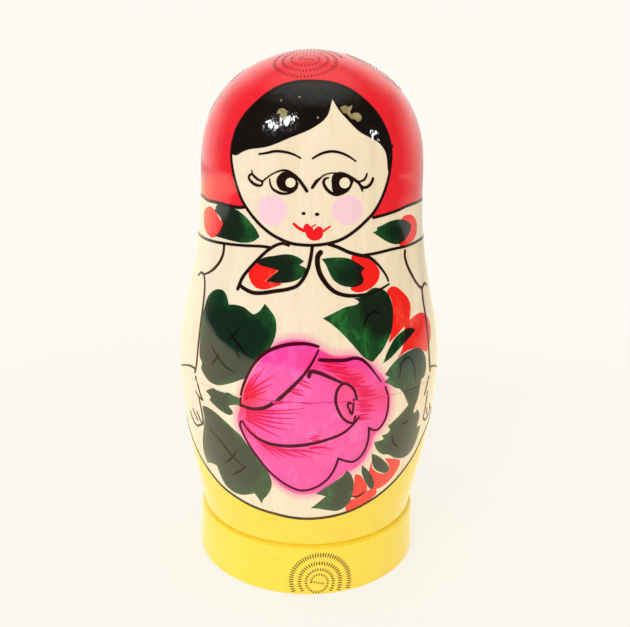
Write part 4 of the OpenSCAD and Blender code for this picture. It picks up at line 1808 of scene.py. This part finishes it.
class TurnedHalf:
    """One turned piece of the set: its outline, read from its CAD node, and the shell spun from it."""

    CORNER = math.radians(22)
    STRAIGHT = math.radians(0.3)
    STEP = 1.15
    SMALLEST_STEP = 0.45
    INNER_STEPS = 3
    SAME_HEIGHT = 1e-3
    SAME_RING = 0.008
    ON_AXIS = 0.02
    WELD = 0.0000012
    SHADE_ANGLE = math.radians(24)

    def __init__(self, node: str, from_top: bool, seam: float, scale: float) -> None:
        """Reads the node's outline.

        Args:
            node: the node's name.
            from_top: whether its outside starts at the top of the head.
            seam: the height at which the doll's halves meet, in millimetres.
            scale: the doll's size against the largest one.
        """
        self.node = node
        self.scale = scale
        rings = self.walk(from_top)
        way = 1 if from_top else -1
        beyond = way * (rings[:, 1] - seam) <= self.SAME_HEIGHT
        last = int(np.argmax(beyond)) if beyond.any() else len(rings) - 1
        step = self.STEP * max(scale, self.SMALLEST_STEP)
        self.outer = self.smooth(rings[: last + 1], step)
        inner = self.smooth(rings[last:], self.INNER_STEPS * step)[1:] if beyond.any() else rings[:0]
        self.path = np.vstack([self.outer, inner])

    def walk(self, from_top: bool) -> np.ndarray:
        """Goes along the rings of the node's mesh, from its outside to its inside.

        Args:
            from_top: whether it starts at the highest end.

        Returns:
            Radius and height of each ring, in millimetres.
        """
        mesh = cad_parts[self.node].data
        co = read_all(mesh.vertices, "co", 3) / MM
        spots = np.stack([np.hypot(co[:, 0], co[:, 1]), co[:, 2]], 1)
        rounded, which = np.unique(np.round(spots, 3), axis=0, return_inverse=True)
        same = np.arange(len(rounded))
        for k in range(len(rounded)):
            near = np.flatnonzero(np.hypot(*(rounded[:k] - rounded[k]).T) < self.SAME_RING)
            same[k] = same[near[0]] if len(near) else k
        ring = same[np.ravel(which)]
        ends = read_all(mesh.edges, "vertices", 2, int)
        pairs = np.unique(np.sort(ring[ends], axis=1), axis=0)
        beside: dict[int, list[int]] = {}
        for a, b in pairs[pairs[:, 0] != pairs[:, 1]].tolist():
            beside.setdefault(a, []).append(b)
            beside.setdefault(b, []).append(a)
        tips = sorted((k for k in beside if len(beside[k]) == 1), key=lambda k: rounded[k][1])
        here, before = tips[-1] if from_top else tips[0], -1
        row = [here]
        while True:
            onward = [k for k in beside[here] if k != before]
            if not onward or onward[0] in row:
                break
            before, here = here, onward[0]
            row.append(here)
        path = rounded[row]
        path = path[np.concatenate([[True], self.bends(path) > self.STRAIGHT, [True]])]
        if path[0][0] > self.ON_AXIS:
            path = np.vstack([[0.0, path[0][1]], path])
        if path[-1][0] > self.ON_AXIS:
            path = np.vstack([path, [0.0, path[-1][1]]])
        return path

    @staticmethod
    def bends(path: np.ndarray) -> np.ndarray:
        """Gives how far an outline turns at each of its inner points, in radians."""
        run = np.diff(path, axis=0)
        way = np.arctan2(run[:, 1], run[:, 0])
        return np.abs((np.diff(way) + math.pi) % (2 * math.pi) - math.pi)

    def smooth(self, path: np.ndarray, step: float) -> np.ndarray:
        """Smooths an outline between its corners.

        Args:
            path: the rings' radius and height.
            step: the longest piece of the result.

        Returns:
            The smooth outline, with the same corners.
        """
        cuts = [0, *(np.flatnonzero(self.bends(path) > self.CORNER) + 1).tolist(), len(path) - 1]
        made = []
        for a, b in zip(cuts, cuts[1:]):
            part = path[a : b + 1]
            curved = len(part) > 2
            if curved and part[0][0] < self.ON_AXIS:
                part = np.vstack([part[1] * [-1, 1], part])
            if curved and part[-1][0] < self.ON_AXIS:
                part = np.vstack([part, part[-2] * [-1, 1]])
            row = smooth_run(part, step)
            made.append(row[row[:, 0] > -1e-9][:-1] if part[-1][0] >= 0 else self.half(row))
        return np.vstack([*made, path[-1:]])

    @staticmethod
    def half(row: np.ndarray) -> np.ndarray:
        """Keeps a curve's points up to the axis, without the one on it."""
        return row[row[:, 0] > 1e-6]

    def spin(self, name: str, steps: int) -> bpy.types.Object:
        """Spins the outline into a closed shell.

        Args:
            name: the shell's name.
            steps: how many steps the turn has.

        Returns:
            The shell, in metres.
        """
        rows = [(r * MM, 0.0, z * MM) for r, z in self.path]
        edges = [(k, k + 1) for k in range(len(rows) - 1)]
        piece = new_piece(name, rows, edges, [])
        bpy.ops.object.mode_set(mode="EDIT")
        bpy.ops.mesh.select_all(action="SELECT")
        bpy.ops.mesh.spin(steps=steps, angle=2 * math.pi, center=(0, 0, 0), axis=(0, 0, 1))
        bpy.ops.mesh.select_all(action="SELECT")
        bpy.ops.mesh.remove_doubles(threshold=self.WELD)
        bpy.ops.mesh.select_all(action="SELECT")
        bpy.ops.mesh.normals_make_consistent(inside=False)
        bpy.ops.object.mode_set(mode="OBJECT")
        bpy.ops.object.shade_smooth_by_angle(angle=self.SHADE_ANGLE)
        return piece


class Doll:
    """One doll of the set: its turned halves with their dye, and the painting on them."""

    FILM = 0.12
    FILM_ANGLE = math.radians(40)
    STEPS = (240, 160, 160, 160, 112, 112, 112)
    NO_SEAM = 999.0
    OUTSIDE_GAP = 0.03
    DYED_ABOVE = 0.02
    BARE_GAP = 0.06
    BARE_BELOW = 0.01
    WORDS = ("first", "second", "third", "fourth", "fifth", "sixth", "seventh")

    def __init__(self, index: int) -> None:
        """Finds the doll's nodes and reads their outlines.

        Args:
            index: 0 for the largest doll.
        """
        word = self.WORDS[index]
        self.index = index
        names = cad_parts
        self.whole = f"{word}_doll" in names
        self.bottom_node = f"{word}_doll" if self.whole else f"{word}_doll_bottom"
        self.top_node = f"{word}_doll" if self.whole else f"{word}_doll_top"
        self.low = span_of(self.bottom_node)[0]
        self.high = span_of(self.top_node)[1]
        self.scale = (self.high - self.low) / span_of("first_doll_top")[1]
        self.seam = self.low + span_of("first_doll_top")[0] * self.scale
        parting = self.NO_SEAM if self.whole else self.seam
        parts = {Half.BOTTOM: TurnedHalf(self.bottom_node, False, parting, self.scale)}
        if not self.whole:
            parts[Half.TOP] = TurnedHalf(self.top_node, True, self.seam, self.scale)
        self.parts = parts
        rows = [parts[Half.BOTTOM].outer] + ([] if self.whole else [parts[Half.TOP].outer[::-1]])
        self.profile = Profile(np.vstack(rows), self.seam)

    def pieces(self) -> list[tuple[Half, str, list[Half]]]:
        """Gives each half with its node and the halves of the painting that lie on it."""
        if self.whole:
            return [(Half.BOTTOM, self.bottom_node, list(Half))]
        return [(Half.BOTTOM, self.bottom_node, [Half.BOTTOM]), (Half.TOP, self.top_node, [Half.TOP])]

    def build(
        self, sheet: Sheet, zones: Zones, foliage: FoliagePainting, woods: Sequence, paints: dict
    ) -> list:
        """Builds and dresses the doll's pieces.

        Args:
            sheet: the flat painting.
            zones: where the dyes lie.
            foliage: the leaves, which know their tones.
            woods: the dyed and the bare wood's materials.
            paints: the material of each colour.

        Returns:
            The pieces.
        """
        made = []
        for half, node, halves in self.pieces():
            made.append(self.shell(half, node, zones, woods))
            for paint in Paint:
                points, faces = sheet.pick(paint, halves)
                if not faces:
                    continue
                tones = {}
                if paint is Paint.LEAF:
                    tones = foliage.tones(sheet, points[:, [0, 2]])
                elif paint in Sheet.SOFT:
                    tones = {"core": points[:, 3], "blush": zones.rose.blush(sheet, points[:, [0, 2]])}
                piece = self.film(node, paint, points, faces, tones, sheet.profile)
                piece.data.materials.append(paints[paint])
                made.append(piece)
        return made

    def shell(self, half: Half, node: str, zones: Zones, woods: Sequence) -> bpy.types.Object:
        """Spins one half, dyes its outside and leaves its inside and its base bare.

        Args:
            half: which half it is.
            node: its CAD node, which it replaces.
            zones: where the dyes lie.
            woods: the dyed and the bare wood's materials.

        Returns:
            The shell.
        """
        part = self.parts[half]
        piece = part.spin(f"{node}_turned", self.STEPS[self.index])
        mesh = piece.data
        for wood in woods:
            mesh.materials.append(wood)
        co = read_all(mesh.vertices, "co", 3) / MM
        gap, arc = self.along(co, self.profile.line)
        outside = (gap < self.OUTSIDE_GAP) & (co[:, 2] > self.low + self.DYED_ABOVE)
        degrees = np.degrees(np.arctan2(co[:, 0], -co[:, 1]))
        values = zones.measure(degrees[outside], self.profile.to_largest(arc[outside], zones.profile))
        for name, row in values.items():
            filled = np.full(len(co), Zones.OUTSIDE)
            filled[outside] = row
            carry(piece, name, filled)
        middle = read_all(mesh.polygons, "center", 3) / MM
        bare = self.along(middle, part.outer)[0] > self.BARE_GAP
        bare |= middle[:, 2] < self.low + self.BARE_BELOW
        mesh.polygons.foreach_set("material_index", bare.astype(np.int32))
        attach(piece, node)
        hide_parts(node)
        return piece

    @staticmethod
    def along(co: np.ndarray, line: np.ndarray) -> tuple[np.ndarray, np.ndarray]:
        """Measures points of a turned piece against an outline, ring by ring.

        Args:
            co: the points, in millimetres.
            line: the outline's radius and height.

        Returns:
            Each point's distance from the outline, and how far along it is.
        """
        spots = np.round(np.stack([np.hypot(co[:, 0], co[:, 1]), co[:, 2]], 1), 3)
        rings, which = np.unique(spots, axis=0, return_inverse=True)
        gap, arc = to_polyline(rings, line)
        return gap[np.ravel(which)], arc[np.ravel(which)]

    def film(
        self, node: str, paint: Paint, points: np.ndarray, faces: list, tones: dict, largest: Profile
    ) -> bpy.types.Object:
        """Wraps one colour of the flat painting round the doll and gives it its thickness.

        Args:
            node: the node that carries it.
            paint: the colour.
            points: its flat points.
            faces: its flat faces.
            tones: values for its points, by their names.
            largest: the largest doll's outside line.

        Returns:
            The film.
        """
        radius, height, out, up = self.profile.at(self.profile.from_largest(points[:, 2], largest))
        radius = radius + points[:, 1] * out
        height = height + points[:, 1] * up
        turn = np.radians(points[:, 0])
        verts = np.stack([radius * np.sin(turn), -radius * np.cos(turn), height], 1) * MM
        piece = new_piece(f"{node}_{paint.value}", verts, [], faces)
        for name, row in tones.items():
            carry(piece, name, row)
        thick = piece.modifiers.new("thickness", "SOLIDIFY")
        thick.thickness = self.FILM * MM
        thick.offset = -1.0
        bpy.ops.object.modifier_apply(modifier=thick.name)
        bpy.ops.object.shade_smooth_by_angle(angle=self.FILM_ANGLE)
        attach(piece, node)
        return piece


@dataclass(frozen=True)
class Studio:
    """The camera of the photograph, a pale floor and soft light."""

    image_width: int = 630
    focal_pixels: float = 686.545
    distance: float = 217.617
    height: float = 132.469
    side: float = 1.148
    pitch: float = 13.84
    roll: float = 1.017
    yaw: float = -0.139
    sensor: float = 36.0
    nearest: float = 0.005
    floor_size: float = 30.0
    floor_rough: float = 0.9
    backdrop: Rgb = (253, 251, 244)
    floor: Rgb = (250, 246, 236)
    floor_shown: float = 0.78
    floor_fade: Pair = (0.16, 0.5)
    # The warm colour of the floor's painted glow in reflections near the doll.
    floor_reflected_glow: Rgb = (255, 240, 202)
    bright: float = 1.22
    bright_middle: Pair = (-0.7, 0.2)
    bright_fade: Pair = (0.6, 1.9)
    bright_left: float = -0.35
    bright_back: float = -0.5
    dim_right: Pair = (-0.6, 0.1)
    dim_front: Pair = (0.2, 0.6)
    clear_back: Pair = (0.3, 2.0)
    least_dim: float = 0.5
    sky: float = 0.825
    sky_tilt: float = 0.015
    sky_white: Rgb = (255, 255, 255)
    sky_warm: Rgb = (255, 240, 208)
    warm_side: Pair = (-0.6, 1.0)
    wall: Pair = (0.1, 0.75)
    wall_sides: Pair = (0.16, 0.56)
    sides_end: Span = (0.2, 0.7, 0.75)
    wall_end: Span = (0.6, 1.0, 0.85)
    wall_foot: Pair = (0.0, 0.3)
    right_dim: Span = (0.05, 0.5, 0.35)
    ceiling: Span = (0.75, 1.0, 0.6)
    room_dark: float = 0.03
    suns: tuple[tuple[float, float, float, float, float], ...] = (
        (-0.387, -0.681, 0.622, 0.55, 9.0), (-0.617, -0.588, 0.523, 0.25, 6.0),
        (0.86, -0.341, 0.38, 0.12, 5.0),
    )

    def build(self) -> None:
        """Sets up the whole studio."""
        self.place_camera()
        self.lay_floor()
        self.light()
        bpy.context.scene.view_settings.view_transform = "Standard"

    def place_camera(self) -> None:
        """Puts the camera where the photograph was taken."""
        lens = bpy.data.cameras.new("photograph")
        lens.sensor_fit = "HORIZONTAL"
        lens.sensor_width = self.sensor
        lens.lens = self.focal_pixels / self.image_width * self.sensor
        lens.clip_start = self.nearest
        camera = add_object("photograph", lens)
        yaw, pitch, roll = (math.radians(a) for a in (self.yaw, self.pitch, self.roll))
        level = math.cos(pitch)
        ahead = np.array([-math.sin(yaw) * level, math.cos(yaw) * level, -math.sin(pitch)])
        right = np.array([math.cos(yaw), math.sin(yaw), 0.0])
        up = np.cross(right, ahead)
        c, s = math.cos(roll), math.sin(roll)
        right, up = c * right + s * up, c * up - s * right
        spot = np.array([self.side, -self.distance, self.height]) * MM
        rows = np.stack([right, up, -ahead, spot], 1)
        camera.matrix_world = Matrix([*rows.tolist(), [0, 0, 0, 1]])
        bpy.context.scene.camera = camera

    def lay_floor(self) -> None:
        """Lays a pale floor under the doll, which glows in the lacquer's reflections as painted light."""
        deselect_all()
        bpy.ops.mesh.primitive_plane_add(size=self.floor_size, location=(0, 0, 0))
        floor = bpy.context.active_object
        floor.name = "floor"
        material, wire, shader = start_material("pale floor")
        wire.put(shader, "Base Color", linear(self.floor))
        wire.put(shader, "Roughness", self.floor_rough)
        wire.put(shader, "Specular IOR Level", 0.0)
        pale = wire.add("ShaderNodeEmission", None, Color=linear(self.backdrop), Strength=1.0)
        place = wire.add("ShaderNodeTexCoord").outputs["Object"]
        away = wire.add("ShaderNodeVectorMath", {"operation": "LENGTH"})
        wire.put(away, 0, place)
        share = wire.ramp(away.outputs["Value"], *self.floor_fade, 1 - self.floor_shown)
        share = wire.math("ADD", share, self.floor_shown)
        path = wire.add("ShaderNodeLightPath").outputs
        seen = wire.math("MULTIPLY", path["Is Camera Ray"], share)
        # Painted reflection: for glossy rays the floor glows on its own. It is warm and brighter than white
        # near the doll, and it fades far off, most to the right and in front.
        spread = wire.add("ShaderNodeSeparateXYZ", None, Vector=place)
        x, y = spread.outputs[0], spread.outputs[1]
        across = wire.math("SUBTRACT", x, self.bright_middle[0])
        across = wire.math("MAXIMUM", across, wire.math("MULTIPLY", across, self.bright_left))
        front = wire.math("SUBTRACT", self.bright_middle[1], y)
        along = wire.math("MAXIMUM", front, wire.math("MULTIPLY", front, self.bright_back))
        square = wire.math("ADD", wire.math("MULTIPLY", across, across), wire.math("MULTIPLY", along, along))
        far = wire.ramp(wire.math("POWER", square, 0.5), *self.bright_fade, self.bright - self.room_dark)
        dim = wire.math("MAXIMUM", wire.ramp(x, *self.dim_right), wire.ramp(front, *self.dim_front))
        dim = wire.math("MULTIPLY", dim, wire.math("SUBTRACT", 1.0, wire.ramp(y, *self.clear_back)))
        dim = wire.math("ADD", wire.math("MULTIPLY", dim, 1 - self.least_dim), self.least_dim)
        level = wire.math("SUBTRACT", self.bright, wire.math("MULTIPLY", far, dim))
        tint = wire.blend(wire.ramp(square, *self.bright_fade), self.floor_reflected_glow, self.backdrop)
        warm = wire.add("ShaderNodeEmission", None, Color=tint, Strength=level)
        gloss = wire.shade(path["Is Glossy Ray"], shader.outputs[0], warm.outputs[0])
        mix = wire.shade(seen, gloss, pale.outputs[0])
        wire.put(material.node_tree.nodes["Material Output"], "Surface", mix)
        floor.data.materials.append(material)

    def light(self) -> None:
        """Adds the soft lamps and a white surrounding, which the lacquer mirrors as a bright wall behind."""
        for k, (x, y, z, power, angle) in enumerate(self.suns):
            lamp = bpy.data.lights.new(f"soft lamp {k + 1}", "SUN")
            lamp.energy = power
            lamp.angle = math.radians(angle)
            holder = add_object(lamp.name, lamp)
            back = np.array([x, y, z]) / math.sqrt(x * x + y * y + z * z)
            side = np.cross([0.0, 0.0, 1.0], back)
            side = side / np.linalg.norm(side)
            rows = np.stack([side, np.cross(back, side), back, back], 1)
            holder.matrix_world = Matrix([*rows.tolist(), [0, 0, 0, 1]])
        world = bpy.data.worlds.new("white room")
        world.use_nodes = True
        bpy.context.scene.world = world
        wire = Wiring(world.node_tree)
        shown = world.node_tree.nodes["Background"]
        wire.put(shown, "Color", linear(self.backdrop))
        wire.put(shown, "Strength", 1.0)
        path = wire.add("ShaderNodeLightPath").outputs
        sight = wire.add("ShaderNodeTexCoord").outputs["Generated"]
        way = wire.add("ShaderNodeSeparateXYZ", None, Vector=sight)
        x, y, z = (way.outputs[k] for k in range(3))
        tilt = wire.math("MULTIPLY", x, -self.sky * self.sky_tilt)
        warm = wire.blend(wire.ramp(x, *self.warm_side), self.sky_white, self.sky_warm)
        soft = wire.add("ShaderNodeBackground", None, Color=warm, Strength=wire.math("ADD", tilt, self.sky))
        beside = wire.ramp(wire.math("MULTIPLY", x, x), *self.wall_sides)
        high = wire.math("MULTIPLY", beside, wire.ramp(z, *self.sides_end))
        high = wire.math("MAXIMUM", high, wire.ramp(z, *self.wall_end))
        behind = wire.math("MULTIPLY", wire.ramp(y, *self.wall), wire.math("SUBTRACT", 1.0, high))
        low = wire.math("SUBTRACT", 1.0, wire.ramp(z, *self.wall_foot))
        dim = wire.math("MULTIPLY", low, wire.ramp(x, *self.right_dim))
        behind = wire.math("MULTIPLY", behind, wire.math("SUBTRACT", 1.0, dim))
        level = wire.math("MAXIMUM", behind, wire.ramp(z, *self.ceiling))
        level = wire.math("ADD", level, self.room_dark)
        mirrored = wire.add("ShaderNodeBackground", None, Color=linear(self.backdrop), Strength=level)
        gloss = wire.shade(path["Is Glossy Ray"], soft.outputs[0], mirrored.outputs[0])
        open_to = wire.math("MAXIMUM", path["Is Camera Ray"], path["Is Transmission Ray"])
        mix = wire.shade(open_to, gloss, shown.outputs[0])
        wire.put(world.node_tree.nodes["World Output"], "Surface", mix)


@dataclass
class NestingSet:
    """The whole set: its dolls, the painting that they share and their finishes."""

    face: FacePainting = FacePainting()
    kerchief: KerchiefPainting = KerchiefPainting()
    sleeves: SleevePainting = SleevePainting()
    foliage: FoliagePainting = FoliagePainting()
    flowers: FlowerPainting = FlowerPainting()
    rose: RosePainting = RosePainting()
    skirt: SkirtPainting = SkirtPainting()
    spirals: SpiralPainting = SpiralPainting()
    fine_dolls: int = 3
    small_bold: float = 1.5

    def draw(self, profile: Profile, bold: float, fine: bool) -> Sheet:
        """Draws the whole painting on a flat sheet.

        Args:
            profile: the largest doll's outside line.
            bold: how much wider its lines are.
            fine: whether it has the finest details.

        Returns:
            The finished sheet.
        """
        sheet = Sheet(profile, bold, fine)
        ground = (self.flowers, self.foliage, self.rose, self.skirt)
        for motif in (*ground, self.sleeves, self.kerchief, self.face, self.spirals):
            motif.paint(sheet)
        sheet.finish()
        return sheet

    def build(self) -> None:
        """Builds every doll and reports each piece."""
        effects = Effects()
        woods = (DyedWoodFinish().material(effects), BareWoodFinish().material(effects))
        paints = {paint: finish.material(paint.value, effects) for paint, finish in PALETTE.items()}
        dolls = [Doll(k) for k in range(len(Doll.WORDS))]
        profile = dolls[0].profile
        zones = Zones(profile, self.face, self.kerchief, self.rose, self.skirt, self.foliage)
        sheets = (self.draw(profile, 1.0, True), self.draw(profile, self.small_bold, False))
        for doll in dolls:
            sheet = sheets[0 if doll.index < self.fine_dolls else 1]
            for piece in doll.build(sheet, zones, self.foliage, woods, paints):
                log.info("%s: %d faces", piece.name, len(piece.data.polygons))


def main() -> None:
    """Builds the studio and the set."""
    logging.basicConfig(level=logging.INFO, format="%(message)s")
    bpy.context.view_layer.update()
    Studio().build()
    NestingSet().build()


if __name__ == "__main__":
    main()
